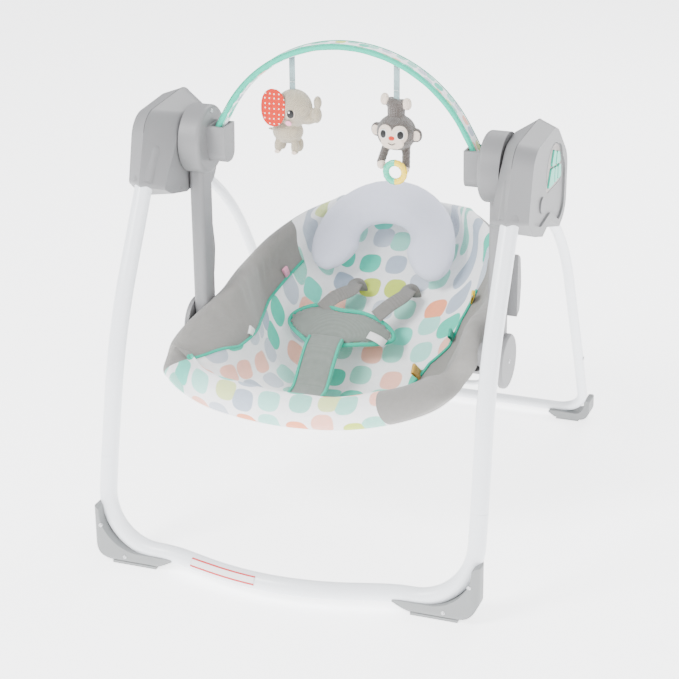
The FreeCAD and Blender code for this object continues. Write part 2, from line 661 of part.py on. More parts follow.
def toy_bar():
    """Arch from socket to socket: a circle whose two ends run down into straight pegs."""
    radius = BAR_R - BAR_THICK / 2.0
    centre_z = 721.0 - BAR_R
    lift = math.radians(32.0)
    shoulder_z = centre_z + (radius - SOCKET_X * math.cos(lift)) / math.sin(lift)
    points = [V(SOCKET_X, AXLE_Y, PEG_BOTTOM), V(SOCKET_X, AXLE_Y, shoulder_z),
              V(0, AXLE_Y, centre_z + radius / math.sin(lift))]
    points += [V(-p.x, p.y, p.z) for p in reversed(points[:2])]
    path = rounded_path(points, [0, 60.0, radius, 60.0, 0])
    half = BAR_THICK / 2.0
    section = Part.makePolygon([V(SOCKET_X + dx, AXLE_Y + dy, PEG_BOTTOM) for dx, dy in
                                ((-half, -BAR_HALF_W), (half, -BAR_HALF_W), (half, BAR_HALF_W),
                                 (-half, BAR_HALF_W), (-half, -BAR_HALF_W))])
    bar = path.makePipeShell([section], True, False)
    save("toy_bar", bar)
    straps = []
    for x in (ELEPHANT_X, MONKEY_X):
        strip = block(x - 4.5, x + 4.5, AXLE_Y - 1.5, AXLE_Y + 1.5, HANG_Z + STRAP_GAP, 700.0)
        straps.append(strip.cut(bar))
    save("toy_straps", group([s.Solids[0] for s in straps]))


def ball(x, y, z, radius):
    return Part.makeSphere(radius, V(x, y, z))


def elephant():
    x, y = ELEPHANT_X, AXLE_Y
    shape = ball(x - 5.0, y, 592.0, 25.0)
    shape = shape.fuse(ball(x + 4.0, y, 622.0, 26.0))
    shape = shape.fuse(ball(x + 33.0, y, 620.0, 9.0))
    shape = shape.fuse(Part.makeCylinder(7.0, 22.0, V(x + 37.0, y, 618.0), V(0.05, 0, 1.0)))
    for dx in (-20.0, 10.0):
        shape = shape.fuse(Part.makeCylinder(8.5, 26.0, V(x + dx, y, 554.0), V(0, 0, 1.0)))
    shape = shape.fuse(Part.makeCylinder(20.0, 8.0, V(x - 25.0, y - 22.0, 622.0), V(0, 1.0, 0)))
    shape = shape.fuse(block(x - 4.5, x + 4.5, y - 1.5, y + 1.5, 640.0, HANG_Z - STRAP_GAP))
    save("toy_elephant", shape)


def monkey():
    x, y = MONKEY_X, AXLE_Y
    shape = ball(x, y, 603.0, 25.5)
    for side in (-1.0, 1.0):
        shape = shape.fuse(ball(x + side * 26.0, y, 604.0, 9.5))
        shape = shape.fuse(ball(x + side * 14.0, y, 636.0, 11.0))
        shape = shape.fuse(Part.makeCylinder(5.5, 22.0, V(x + side * 14.0, y - 4.0, 566.0),
                                             V(-0.25 * side, -0.2, -1.0)))
    shape = shape.fuse(ball(x, y, 571.0, 19.5))
    shape = shape.fuse(block(x - 4.5, x + 4.5, y - 1.5, y + 1.5, 620.0, HANG_Z - STRAP_GAP))
    save("toy_monkey", shape)
    ring = Part.makeTorus(13.5, 4.0, V(x + 5.0, y - 21.0, 546.0), V(0, 1, 0))
    save("teether_ring", ring)


# ---------------------------------------------------------------- build
def main():
    front_base()
    front_legs()
    front_foot()
    soles("front_soles", 192.0, 260.0, FRONT_Y - 15.0, FRONT_Y + 18.0)
    rear_base()
    rear_legs()
    rear_foot()
    soles("rear_soles", 213.0, 251.0, REAR_Y - 14.0, REAR_Y + 16.0)
    rear_knuckle()
    snap_buttons()
    hub_shells()
    hub_pins()
    control_panel()
    release_buttons()
    drive()
    batteries()
    swing_arms()
    arm_covers()
    sockets()
    seat_rim()
    seat_brackets()
    recline_wire()
    soft_seat()
    head_pillow()
    harness()
    toy_bar()
    elephant()
    monkey()


main()
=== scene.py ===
# %% [markdown]
# # A folding baby swing
# The solid parts come from the CAD frame: tubes, hubs, arms, feet and buttons. This lesson
# dresses them, makes the soft goods and the hanging toys, and lights the whole on a pale floor.
# We first load the frame, because every later piece takes its place from it.

# %% Load the frame
import json
import math

import bmesh
import bpy
import numpy as np
from mathutils import Matrix, Vector


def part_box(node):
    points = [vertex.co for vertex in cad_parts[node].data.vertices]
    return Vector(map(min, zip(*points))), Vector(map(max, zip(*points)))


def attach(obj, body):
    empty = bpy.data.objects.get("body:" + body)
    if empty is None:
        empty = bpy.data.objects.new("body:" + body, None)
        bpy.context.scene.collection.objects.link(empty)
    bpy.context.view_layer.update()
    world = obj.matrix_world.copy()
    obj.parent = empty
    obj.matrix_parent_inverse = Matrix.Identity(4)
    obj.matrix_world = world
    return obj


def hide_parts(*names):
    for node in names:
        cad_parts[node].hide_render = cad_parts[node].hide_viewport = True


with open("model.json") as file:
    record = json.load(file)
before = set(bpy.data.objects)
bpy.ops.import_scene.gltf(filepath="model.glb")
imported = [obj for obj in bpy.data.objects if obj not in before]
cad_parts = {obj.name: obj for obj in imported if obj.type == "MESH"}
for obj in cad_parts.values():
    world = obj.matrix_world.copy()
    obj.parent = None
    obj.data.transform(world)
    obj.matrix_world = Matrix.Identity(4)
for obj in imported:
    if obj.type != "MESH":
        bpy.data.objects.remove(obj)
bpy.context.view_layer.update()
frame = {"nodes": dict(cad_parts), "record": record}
axle_low, axle_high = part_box("swing_axles")
AXLE = np.array([0.0, (axle_low.y + axle_high.y) / 2, (axle_low.z + axle_high.z) / 2])
HUB_LINE = AXLE[1] + 0.008        # y of the line through the middles of the hubs, 8 mm behind the axles

# %% [markdown]
# Measurements are easiest to read in millimetres from the line of the hubs, so one short
# function turns such a point, or a whole array of them, into metres in the frame.

# %% Millimetres from the hubs to metres in the frame
def at_hubs(points_mm):
    """Millimetres, with y from the line of the hubs, to metres: divide by 1000 and add the line's y."""
    return np.asarray(points_mm, float) / 1000.0 + np.array([0.0, HUB_LINE, 0.0])


# %% [markdown]
# ## Shapes from arrays
# A surface is a grid of points: each of its two parameters runs along one side of the grid. The
# helpers here turn a grid into a mesh, run a smooth curve through a few points, and carry a
# small section along a path. Everything is worked out as whole arrays.

# %% A grid of points becomes a mesh
def grid_quads(rows, cols, wrap_rows=False, wrap_cols=False):
    """Corner numbers of every quad of a grid; a wrapped side joins its last line to its first."""
    r = np.arange(rows if wrap_rows else rows - 1)
    c = np.arange(cols if wrap_cols else cols - 1)
    r, c = np.meshgrid(r, c, indexing="ij")
    r2, c2 = (r + 1) % rows, (c + 1) % cols
    quads = np.stack([r * cols + c, r * cols + c2, r2 * cols + c2, r2 * cols + c], axis=-1)
    return quads.reshape(-1, 4)


def make_piece(name, points, quads, material, uv=None, marks=None):
    """A mesh object from an array of points in metres and an array of quads, smooth shaded."""
    mesh = bpy.data.meshes.new(name)
    mesh.from_pydata(points.reshape(-1, 3).tolist(), [], quads.tolist())
    mesh.polygons.foreach_set("use_smooth", [True] * len(mesh.polygons))
    if uv is not None:
        corner = np.zeros(len(mesh.loops), np.int32)
        mesh.loops.foreach_get("vertex_index", corner)
        layer = mesh.uv_layers.new(name="cloth")
        layer.data.foreach_set("uv", uv.reshape(-1, 2)[corner].astype(np.float32).ravel())
    for title, values in (marks or {}).items():
        mark = mesh.attributes.new(title, "FLOAT", "POINT")
        mark.data.foreach_set("value", values.astype(np.float32).ravel())
    mesh.materials.append(material)
    piece = bpy.data.objects.new(name, mesh)
    bpy.context.scene.collection.objects.link(piece)
    return piece


def tidy_surface(piece, gap=1e-5):
    """Merges doubled points, which closes the seams, and turns every face outwards."""
    shape = bmesh.new()
    shape.from_mesh(piece.data)
    bmesh.ops.remove_doubles(shape, verts=shape.verts, dist=gap)
    bmesh.ops.dissolve_degenerate(shape, edges=shape.edges, dist=1e-7)
    bmesh.ops.recalc_face_normals(shape, faces=shape.faces)
    shape.to_mesh(piece.data)
    shape.free()
    piece.data.polygons.foreach_set("use_smooth", [True] * len(piece.data.polygons))
    return piece


# %% [markdown]
# A Catmull-Rom curve goes through all of its points, which suits a shape that was measured at
# a few places. The same sum, used along both sides of a grid, gives a surface.

# %% A smooth curve through points
def through(points, count, closed=False):
    """Catmull-Rom: between two points, a cubic whose slopes are half the step between their neighbours."""
    p = np.asarray(points, float)
    if closed:
        p = np.concatenate([p[-1:], p, p[:2]])
        spans = len(p) - 3
        t = np.linspace(0, spans, count, endpoint=False)
    else:
        p = np.concatenate([2 * p[:1] - p[1:2], p, 2 * p[-1:] - p[-2:-1]])
        spans = len(p) - 3
        t = np.linspace(0, spans, count)
    k = np.minimum(t.astype(int), spans - 1)
    f = (t - k).reshape((-1,) + (1,) * (p.ndim - 1))
    a, b, c, d = p[k], p[k + 1], p[k + 2], p[k + 3]
    return 0.5 * (2 * b + (c - a) * f + (2 * a - 5 * b + 4 * c - d) * f**2 + (3 * b - a - 3 * c + d) * f**3)


def unit(v):
    return v / np.maximum(np.linalg.norm(v, axis=-1, keepdims=True), 1e-12)


# %% [markdown]
# Piping, straps, rings and tags are all one section carried along a path. At each point of the
# path a sideways and an upward direction are worked out, and the section is laid in them.

# %% A section carried along a path
def carry(name, path, section, up, material, closed=False, scale=None):
    """Each section point (s, t) goes to path + s * side + t * up', where side = direction x up."""
    path = np.asarray(path, float)
    up = np.broadcast_to(np.asarray(up, float), path.shape)
    if closed:
        direction = unit(np.roll(path, -1, 0) - np.roll(path, 1, 0))
    else:
        direction = unit(np.gradient(path, axis=0))
    side = unit(np.cross(direction, up))
    top = unit(np.cross(side, direction))
    size = np.ones(len(path)) if scale is None else np.asarray(scale, float)
    s, t = np.asarray(section, float).T
    points = (path[:, None] + size[:, None,
        None] * (s[None, :, None] * side[:, None] + t[None, :, None] * top[:, None]))
    quads = grid_quads(len(path), len(section), wrap_rows=closed, wrap_cols=True)
    length = np.concatenate([[0], np.cumsum(np.linalg.norm(np.diff(path, axis=0), axis=1))])
    around = np.linspace(0, 1, len(section))
    uv = np.stack(np.meshgrid(length, around, indexing="ij"), axis=-1)
    piece = make_piece(name, points, quads, material, uv)
    if not closed:
        close_ends(piece, len(path), len(section))
    return tidy_surface(piece)


def close_ends(piece, rows, cols):
    """Fills the first and last ring of a carried section."""
    shape = bmesh.new()
    shape.from_mesh(piece.data)
    shape.verts.ensure_lookup_table()
    for start in (0, (rows - 1) * cols):
        shape.faces.new([shape.verts[start + i] for i in range(cols)])
    shape.to_mesh(piece.data)
    shape.free()


def oval(half_w, half_t, count=12, power=2.0):
    """Points of a rounded section: |s/w|^p + |t/h|^p = 1, a circle's shape when p is 2."""
    a = np.linspace(0, 2 * math.pi, count, endpoint=False)
    c, s = np.cos(a), np.sin(a)
    return np.stack([half_w * np.sign(c) * np.abs(c) ** (2 / power),
        half_t * np.sign(s) * np.abs(s) ** (2 / power)], axis=1)


# %% [markdown]
# ## Finishes
# Several finishes share an effect: the fine grain of a moulded or painted surface, the weave of cloth,
# which also serves the plush, and the pebble print. Each effect is a node group with named sockets, built
# once.

# %% Small helpers for shader nodes
def new_group(title, inputs, outputs):
    group = bpy.data.node_groups.new(title, "ShaderNodeTree")
    for name, kind, value in inputs:
        made = group.interface.new_socket(name=name, in_out="INPUT", socket_type=kind)
        if value is not None:
            made.default_value = value
    for name, kind in outputs:
        group.interface.new_socket(name=name, in_out="OUTPUT", socket_type=kind)
    return group, group.nodes.new("NodeGroupInput"), group.nodes.new("NodeGroupOutput")


def fill_inputs(tree, made, values):
    """Each input gets a link when its value is another node's socket, and a plain value otherwise."""
    for key, value in values.items():
        if isinstance(value, bpy.types.NodeSocket):
            tree.links.new(value, made.inputs[key])
        else:
            made.inputs[key].default_value = value
    return made


def node(tree, kind, links=None, **settings):
    """Adds a node, sets its properties, and fills its inputs."""
    made = tree.nodes.new(kind)
    for key, value in settings.items():
        setattr(made, key, value)
    return fill_inputs(tree, made, links or {})


def maths(tree, operation, a, b=0.5):
    """One sum, product or comparison of two values or sockets."""
    return node(tree, "ShaderNodeMath", {0: a, 1: b}, operation=operation).outputs[0]


def mix_colour(tree, share, a, b):
    """Colour a where share is 0, colour b where it is 1."""
    return node(tree, "ShaderNodeMix", {0: share, 6: a, 7: b}, data_type="RGBA").outputs[2]


def rgba(red, green, blue):
    """A colour given as 0 to 255 screen values, turned into the linear values that shaders use."""
    c = np.array([red, green, blue]) / 255.0
    linear = np.where(c <= 0.04045, c / 12.92, ((c + 0.055) / 1.055) ** 2.4)
    return (*linear.tolist(), 1.0)


# %% The grain of moulded plastic and paint
COLOUR, NUMBER, VECTOR = "NodeSocketColor", "NodeSocketFloat", "NodeSocketVector"
grain, g_in, g_out = new_group(
    "moulded grain",
    [("Colour", COLOUR, rgba(175, 178, 180)), ("Grain Size", NUMBER, 900.0), ("Grain Depth", NUMBER, 0.1),
     ("Roughness", NUMBER, 0.45), ("Blotch", NUMBER, 0.06)],
    [("Colour", COLOUR), ("Roughness", NUMBER), ("Normal", VECTOR)])
where = node(grain, "ShaderNodeTexCoord").outputs["Object"]
fine = node(grain, "ShaderNodeTexNoise", {"Vector": where, "Scale": g_in.outputs["Grain Size"],
    "Detail": 4.0}).outputs["Fac"]
broad = node(grain, "ShaderNodeTexNoise", {"Vector": where, "Scale": 14.0, "Detail": 3.0}).outputs["Fac"]
shift = maths(grain, "MULTIPLY", maths(grain, "SUBTRACT", broad, 0.5), g_in.outputs["Blotch"])
bright = maths(grain, "ADD", maths(grain, "ADD", 1.0, shift),
    maths(grain, "MULTIPLY", maths(grain, "SUBTRACT", fine, 0.5), 0.05))
tone = node(grain, "ShaderNodeVectorMath", {0: g_in.outputs["Colour"]}, operation="SCALE")
grain.links.new(bright, tone.inputs["Scale"])
grain.links.new(tone.outputs[0], g_out.inputs["Colour"])
rough = maths(grain, "ADD", g_in.outputs["Roughness"],
    maths(grain, "MULTIPLY", maths(grain, "SUBTRACT", fine, 0.5), 0.18))
grain.links.new(rough, g_out.inputs["Roughness"])
bump = node(grain, "ShaderNodeBump", {"Strength": g_in.outputs["Grain Depth"], "Distance": 0.0006,
    "Height": fine})
grain.links.new(bump.outputs[0], g_out.inputs["Normal"])

# %% [markdown]
# Cloth is made of threads that pass over and under each other. Two sine waves at right angles,
# multiplied, give the plain weave; a slow noise gives the slubs and the faint creases.

# %% The weave of cloth
weave, w_in, w_out = new_group(
    "woven threads",
    [("Vector", VECTOR, None), ("Colour", COLOUR, rgba(180, 180, 175)), ("Threads", NUMBER, 900.0),
     ("Depth", NUMBER, 0.35), ("Contrast", NUMBER, 0.12), ("Crease", NUMBER, 0.25)],
    [("Colour", COLOUR), ("Normal", VECTOR)])
parts = node(weave, "ShaderNodeSeparateXYZ", {0: w_in.outputs["Vector"]})
lines = [maths(weave, "SINE", maths(weave, "MULTIPLY", parts.outputs[k],
    maths(weave, "MULTIPLY", w_in.outputs["Threads"], 6.2832)))
         for k in (0, 1)]
third = maths(weave, "SINE", maths(weave, "MULTIPLY", parts.outputs[2],
    maths(weave, "MULTIPLY", w_in.outputs["Threads"], 6.2832)))
cross = maths(weave, "MULTIPLY", lines[0], lines[1])
cross = maths(weave, "ADD", maths(weave, "ADD", cross, maths(weave, "MULTIPLY", lines[1], third)),
    maths(weave, "MULTIPLY", lines[0], third))
slub = node(weave, "ShaderNodeTexNoise", {"Vector": w_in.outputs["Vector"], "Scale": 130.0,
    "Detail": 4.0}).outputs["Fac"]
crease = node(weave, "ShaderNodeTexNoise",
    {"Vector": w_in.outputs["Vector"], "Scale": 22.0, "Detail": 3.0, "Distortion": 0.6}).outputs["Fac"]
shade = maths(weave, "MULTIPLY", cross, maths(weave, "MULTIPLY", w_in.outputs["Contrast"], 0.35))
shade = maths(weave, "ADD", shade, maths(weave, "MULTIPLY", maths(weave, "SUBTRACT", slub, 0.5),
    w_in.outputs["Contrast"]))
tone = node(weave, "ShaderNodeVectorMath", {0: w_in.outputs["Colour"]}, operation="SCALE")
weave.links.new(maths(weave, "ADD", 1.0, shade), tone.inputs["Scale"])
weave.links.new(tone.outputs[0], w_out.inputs["Colour"])
small = node(weave, "ShaderNodeBump", {"Strength": w_in.outputs["Depth"], "Distance": 0.0005,
    "Height": cross})
soft = node(weave, "ShaderNodeBump", {"Strength": w_in.outputs["Crease"], "Distance": 0.004,
    "Height": crease, "Normal": small.outputs[0]})
weave.links.new(soft.outputs[0], w_out.inputs["Normal"])

# %% [markdown]
# The cover is printed with rows of rounded pebbles in soft colours, some of them hatched. A
# Voronoi texture gives one cell a pebble: the distance from the cell's middle cuts its outline,
# and the cell's random colour picks its ink from a ramp.

# %% The pebble print
pebbles, p_in, p_out = new_group(
    "pebble print", [("Vector", VECTOR, None), ("Size", NUMBER, 34.0),
    ("Ground", COLOUR, rgba(253, 253, 254))],
    [("Colour", COLOUR)])
cells = node(pebbles, "ShaderNodeTexVoronoi",
    {"Vector": p_in.outputs["Vector"], "Scale": p_in.outputs["Size"], "Randomness": 0.42, "Exponent": 2.6},
             voronoi_dimensions="2D", distance="MINKOWSKI")
inside = node(pebbles, "ShaderNodeMapRange",
    {"Value": cells.outputs["Distance"], "From Min": 0.43, "From Max": 0.40})
pick = node(pebbles, "ShaderNodeSeparateColor", {0: cells.outputs["Color"]})
ink = node(pebbles, "ShaderNodeValToRGB", {0: pick.outputs[0]})
ink.color_ramp.interpolation = "CONSTANT"
INKS = [(0.0, (74, 206, 178)), (0.24, (176, 188, 204)), (0.40, (110, 222, 200)), (0.56, (252, 158, 118)),
        (0.70, (166, 180, 198)), (0.84, (56, 196, 168)), (0.93, (200, 218, 90))]
while len(ink.color_ramp.elements) < len(INKS):
    ink.color_ramp.elements.new(0.5)
for stop, (position, colour) in zip(ink.color_ramp.elements, INKS):
    stop.position, stop.color = position, rgba(*colour)
turned = node(pebbles, "ShaderNodeMapping", {"Vector": p_in.outputs["Vector"], "Rotation": (0, 0, 0.12)})
hatch = [node(pebbles, "ShaderNodeTexWave",
    {"Vector": turned.outputs[0], "Scale": 190.0, "Distortion": 0.3}, bands_direction=way).outputs["Fac"]
         for way in ("X", "Y")]
lattice = maths(pebbles, "GREATER_THAN", maths(pebbles, "MAXIMUM", hatch[0], hatch[1]), 0.80)
hatched = maths(pebbles, "GREATER_THAN", pick.outputs[1], 0.30)
lattice = maths(pebbles, "MULTIPLY", maths(pebbles, "MULTIPLY", lattice, hatched), 0.55)
dye = mix_colour(pebbles, lattice, ink.outputs[0], p_in.outputs["Ground"])
pebbles.links.new(mix_colour(pebbles, inside.outputs[0], p_in.outputs["Ground"], dye),
    p_out.inputs["Colour"])


# %% [markdown]
# A material then joins a group's colour, roughness and normal to one Principled shader. What is
# the same all over a surface, such as sheen or coat, is set on the shader itself.

# %% Plastic, paint, rubber and metal
def hard_finish(name, colour, roughness, grain_size=900.0, depth=0.1, blotch=0.06, **shader):
    material = bpy.data.materials.new(name)
    material.use_nodes = True
    tree = material.node_tree
    principled = tree.nodes["Principled BSDF"]
    effect = node(tree, "ShaderNodeGroup", {
        "Colour": rgba(*colour), "Grain Size": grain_size, "Grain Depth": depth, "Roughness": roughness,
        "Blotch": blotch}, node_tree=grain)
    tree.links.new(effect.outputs["Colour"], principled.inputs["Base Color"])
    tree.links.new(effect.outputs["Roughness"], principled.inputs["Roughness"])
    tree.links.new(effect.outputs["Normal"], principled.inputs["Normal"])
    for key, value in shader.items():
        principled.inputs[key.replace("_", " ")].default_value = value
    return material


tube_paint = hard_finish("white tube paint", (246, 249, 253), 0.32, 500.0, 0.12, 0.03, Coat_Weight=0.25,
    Coat_Roughness=0.2)
housing_plastic = hard_finish("grey housing plastic", (124, 124, 125), 0.48, 1100.0, 0.22, 0.05)
foot_plastic = hard_finish("grey foot plastic", (134, 136, 136), 0.55, 900.0, 0.3, 0.08)
sole_rubber = hard_finish("grey sole rubber", (138, 140, 140), 0.8, 700.0, 0.5, 0.12)
button_rubber = hard_finish("teal button rubber", (40, 190, 160), 0.42, 1200.0, 0.15, 0.05,
    Coat_Weight=0.15)
panel_plastic = hard_finish("panel plastic", (158, 150, 148), 0.5, 1300.0, 0.2, 0.05)
# Dark plastic is the real colour of the parts in the dark slot. It also gives the painted shade of the line
# round each hub's seam.
dark_plastic_and_seam_shade = hard_finish("dark plastic and painted seam shade", (58, 58, 61), 0.5, 900.0, 0.3, 0.1)
bush_plastic = hard_finish("white bush plastic", (226, 226, 220), 0.4, 900.0, 0.1, 0.05)
circuit_green = hard_finish("circuit board", (36, 96, 62), 0.4, 700.0, 0.2, 0.3)
copper_wire = hard_finish("copper winding", (196, 118, 70), 0.35, 2200.0, 0.5, 0.2, Metallic=1.0)
steel = hard_finish("bright steel", (190, 190, 192), 0.28, 1800.0, 0.15, 0.08, Metallic=1.0)
cell_wrap = hard_finish("cell wrap", (58, 62, 74), 0.35, 600.0, 0.1, 0.2, Coat_Weight=0.4)
FINISH_OF_SLOT = {
    "frame_paint": tube_paint, "housing": housing_plastic, "foot": foot_plastic, "sole": sole_rubber,
    "button": button_rubber, "panel": panel_plastic, "steel": steel, "copper_coil": copper_wire,
    "board": circuit_green, "dark": dark_plastic_and_seam_shade, "cell": cell_wrap, "bush": bush_plastic}
slot_of_node = {part["node"]: part["material_slot"] for part in frame["record"]["subparts"]}
for name, cad in frame["nodes"].items():
    finish = FINISH_OF_SLOT.get(slot_of_node.get(name))
    if finish:
        cad.data.materials.clear()
        cad.data.materials.append(finish)
print("finished", len(frame["nodes"]), "CAD nodes")


# %% [markdown]
# Cloth has no single highlight: its fibres scatter light at the edges, which the shader's sheen
# stands for. The weave reads the piece's own UV map where the threads follow the surface, and
# Object coordinates on small pieces.

# %% Cloth finishes
def woven_material(name, dye, threads, depth, contrast, crease, roughness=0.85, sheen=0.25, specular=0.2):
    """A material whose weave group is fed by dye(tree), which gives a place on the cloth and a colour."""
    material = bpy.data.materials.new(name)
    material.use_nodes = True
    tree = material.node_tree
    principled = tree.nodes["Principled BSDF"]
    place, colour = dye(tree)
    effect = node(tree, "ShaderNodeGroup", node_tree=weave)
    fill_inputs(tree, effect, {"Vector": place, "Colour": colour, "Threads": threads, "Depth": depth,
                               "Contrast": contrast, "Crease": crease})
    tree.links.new(effect.outputs["Colour"], principled.inputs["Base Color"])
    tree.links.new(effect.outputs["Normal"], principled.inputs["Normal"])
    principled.inputs["Roughness"].default_value = roughness
    principled.inputs["Sheen Weight"].default_value = sheen
    principled.inputs["Sheen Roughness"].default_value = 0.5
    principled.inputs["Specular IOR Level"].default_value = specular
    return material


def cloth_finish(name, colour, threads, depth, contrast, crease, sheen=0.25):
    """Plain woven cloth of one colour, for small pieces."""
    def dye(tree):
        return node(tree, "ShaderNodeTexCoord").outputs["Object"], rgba(*colour)
    return woven_material(name, dye, threads, depth, contrast, crease, sheen=sheen)


teal_binding = cloth_finish("teal binding", (28, 182, 152), 1100.0, 0.4, 0.15, 0.1)
grey_webbing = cloth_finish("grey webbing", (130, 128, 124), 520.0, 0.6, 0.25, 0.1)
pad_cloth = cloth_finish("grey pad cloth", (124, 131, 125), 700.0, 0.35, 0.22, 0.5)
pillow_cloth = cloth_finish("pillow cloth", (214, 217, 234), 1200.0, 0.2, 0.04, 0.25, sheen=0.4)
white_ribbon = cloth_finish("white ribbon", (240, 240, 238), 1200.0, 0.3, 0.1, 0.1)
hanging_ribbon = cloth_finish("hanging ribbon", (146, 170, 172), 900.0, 0.4, 0.2, 0.1)
pink_ribbon = cloth_finish("pink ribbon", (238, 158, 186), 1200.0, 0.3, 0.15, 0.1)
yellow_ribbon = cloth_finish("yellow ribbon", (245, 204, 32), 1200.0, 0.3, 0.15, 0.1)
gold_ribbon = cloth_finish("gold ribbon", (222, 178, 78), 600.0, 0.5, 0.5, 0.1)
grey_plush = cloth_finish("beige plush", (182, 170, 146), 420.0, 0.9, 0.35, 0.5, sheen=0.6)
orange_felt = cloth_finish("orange felt", (204, 40, 8), 500.0, 0.5, 0.2, 0.2, sheen=0.4)
brown_plush = cloth_finish("brown plush", (88, 80, 75), 420.0, 0.9, 0.35, 0.5, sheen=0.6)
pale_felt = cloth_finish("pale felt", (226, 208, 192), 500.0, 0.5, 0.1, 0.2, sheen=0.4)
black_bead = hard_finish("black bead", (6, 6, 6), 0.35, 400.0, 0.02, 0.0)
ring_yellow = hard_finish("yellow ring plastic", (240, 204, 0), 0.25, 400.0, 0.05, 0.03, Coat_Weight=0.4)
ring_teal = hard_finish("teal ring plastic", (30, 186, 150), 0.25, 400.0, 0.05, 0.03, Coat_Weight=0.4)

# %% [markdown]
# ## The seat cover
# The cover is a padded sling that hangs from a rim: a printed middle and grey side wings. Its
# middle layer is a surface through rows of measured points, from the front rim, over the seat
# and up the back. Padding then grows on both sides of it, thin in the seat and fat along the
# rim, which closes it in a soft roll. Thickness by formula keeps the outline exactly in place.

# %% Rows of points across the cover
COVER_ROWS = [
    [(-230, -106, 246), (-200, -130, 231), (-152, -146, 223), (-84, -154, 220), (-22, -153, 221),
     (38, -146, 226), (94, -130, 234), (132, -110, 244), (156, -88, 254)],
    [(-256, -82, 254), (-218, -88, 228), (-166, -96, 205), (-86, -106, 195), (-20, -108, 194),
     (45, -102, 197), (105, -88, 210), (150, -72, 230), (180, -58, 258)],
    [(-242, -52, 284), (-194, -48, 258), (-162, -44, 202), (-90, -50, 176), (-15, -52, 174), (55, -48, 176),
     (120, -42, 192), (166, -36, 240), (200, -36, 288)],
    [(-206, 8, 324), (-171, 10, 270), (-150, 15, 202), (-90, 16, 164), (-10, 16, 161), (65, 16, 164),
     (128, 15, 190), (164, 12, 258), (196, 10, 318)],
    [(-208, 64, 330), (-184, 66, 274), (-154, 66, 212), (-88, 68, 176), (-8, 70, 173), (70, 68, 176),
     (132, 66, 202), (170, 66, 262), (197, 64, 322)],
    [(-213, 120, 332), (-194, 122, 284), (-156, 124, 246), (-86, 128, 230), (-8, 130, 228), (70, 128, 230),
     (132, 124, 246), (172, 122, 284), (195, 118, 330)],
    [(-196, 176, 356), (-178, 182, 324), (-144, 188, 302), (-82, 194, 294), (-8, 196, 293), (68, 194, 294),
     (124, 188, 302), (162, 182, 324), (184, 174, 356)],
    [(-160, 230, 381), (-146, 238, 362), (-118, 244, 350), (-68, 250, 346), (-8, 252, 346), (56, 250, 346),
     (104, 244, 350), (134, 238, 362), (152, 228, 381)],
    [(-112, 276, 400), (-98, 282, 400), (-76, 288, 400), (-42, 293, 401), (-8, 295, 402), (28, 293, 401),
     (62, 288, 400), (86, 282, 400), (102, 276, 400)],
]


def cover_grid(rows, columns):
    """The measured rows smoothed along one side and then the other, closer together near the rim."""
    net = np.array(COVER_ROWS, float)
    along = through(net, 241)
    whole = through(along.transpose(1, 0, 2), 241).transpose(1, 0, 2)
    pick_row = (240 * (0.5 - 0.5 * np.cos(np.pi * np.linspace(0, 1, rows)))).round(6)
    pick_col = (240 * (0.5 - 0.5 * np.cos(np.pi * np.linspace(0, 1, columns)))).round(6)
    return sample(sample(whole, pick_row).transpose(1, 0, 2), pick_col).transpose(1, 0, 2)


def sample(lines, places):
    """Straight-line reading between neighbouring lines of an array."""
    k = np.minimum(places.astype(int), len(lines) - 2)
    f = (places - k).reshape((-1,) + (1,) * (lines.ndim - 1))
    return lines[k] * (1 - f) + lines[k + 1] * f


def grid_lengths(grid):
    """Distance travelled along each side of a grid, in the grid's unit."""
    across = np.linalg.norm(np.diff(grid, axis=1), axis=2)
    along = np.linalg.norm(np.diff(grid, axis=0), axis=2)
    across = np.concatenate([np.zeros((len(grid), 1)), np.cumsum(across, axis=1)], axis=1)
    along = np.concatenate([np.zeros((1, grid.shape[1])), np.cumsum(along, axis=0)], axis=0)
    return across, along


def grid_normals(grid):
    """Cross product of the two directions of a grid, made unit length."""
    return unit(np.cross(np.gradient(grid, axis=1), np.gradient(grid, axis=0)))


# %% Padding on both sides of the middle layer
COVER = cover_grid(150, 190)
across, along = grid_lengths(COVER)
to_side = np.minimum(across, across[:, -1:] - across)
to_front, to_top = along, along[-1:] - along


def rounded_edge(distance, radius):
    """Half thickness share of a round edge: sqrt(1 - (1 - d/r)^2) until d reaches r, then 1."""
    share = np.clip(distance / radius, 0, 1)
    return np.sqrt(np.clip(1 - (1 - share) ** 2, 0, 1))


ROLL_SIDE, ROLL_FRONT, ROLL_TOP, SEAT_PAD = 17.0, 28.0, 13.0, 8.0
half = SEAT_PAD + (ROLL_SIDE - SEAT_PAD) * np.exp(-((to_side / 44.0) ** 2))
half = np.maximum(half, SEAT_PAD + (ROLL_FRONT - SEAT_PAD) * np.exp(-((to_front / 60.0) ** 2)))
half = np.where(to_top < 90, np.minimum(half, ROLL_TOP + (half - ROLL_TOP) * np.clip(to_top / 90, 0, 1)),
    half)
half *= rounded_edge(to_side, ROLL_SIDE) * rounded_edge(to_front, ROLL_FRONT) * rounded_edge(to_top,
    ROLL_TOP)

# %% [markdown]
# Sewn cloth is never quite smooth. A few long, seeded waves make the soft dents, and short
# ripples that fade away from the rim make the gathers along it.

# %% Dents and gathers
row_length = along / 1000.0
column_length = across / 1000.0
dents = 1.1 * np.sin(29 * column_length + 3) * np.sin(37 * row_length + 1)
dents = dents + 0.7 * np.sin(61 * column_length + 17 * row_length)
gathers = 0.9 * np.sin(210 * row_length + 3 * np.sin(40 * row_length))
gathers = gathers * np.exp(-((to_side - 26) / 24.0) ** 2)
cloth_normal = grid_normals(COVER)
upper = COVER + cloth_normal * (half + (dents + gathers) * np.clip(half / 10, 0, 1))[..., None]
lower = COVER - cloth_normal * half[..., None]
print("cover middle height", upper[75, 95].round(1), "normal", cloth_normal[75, 95].round(2))


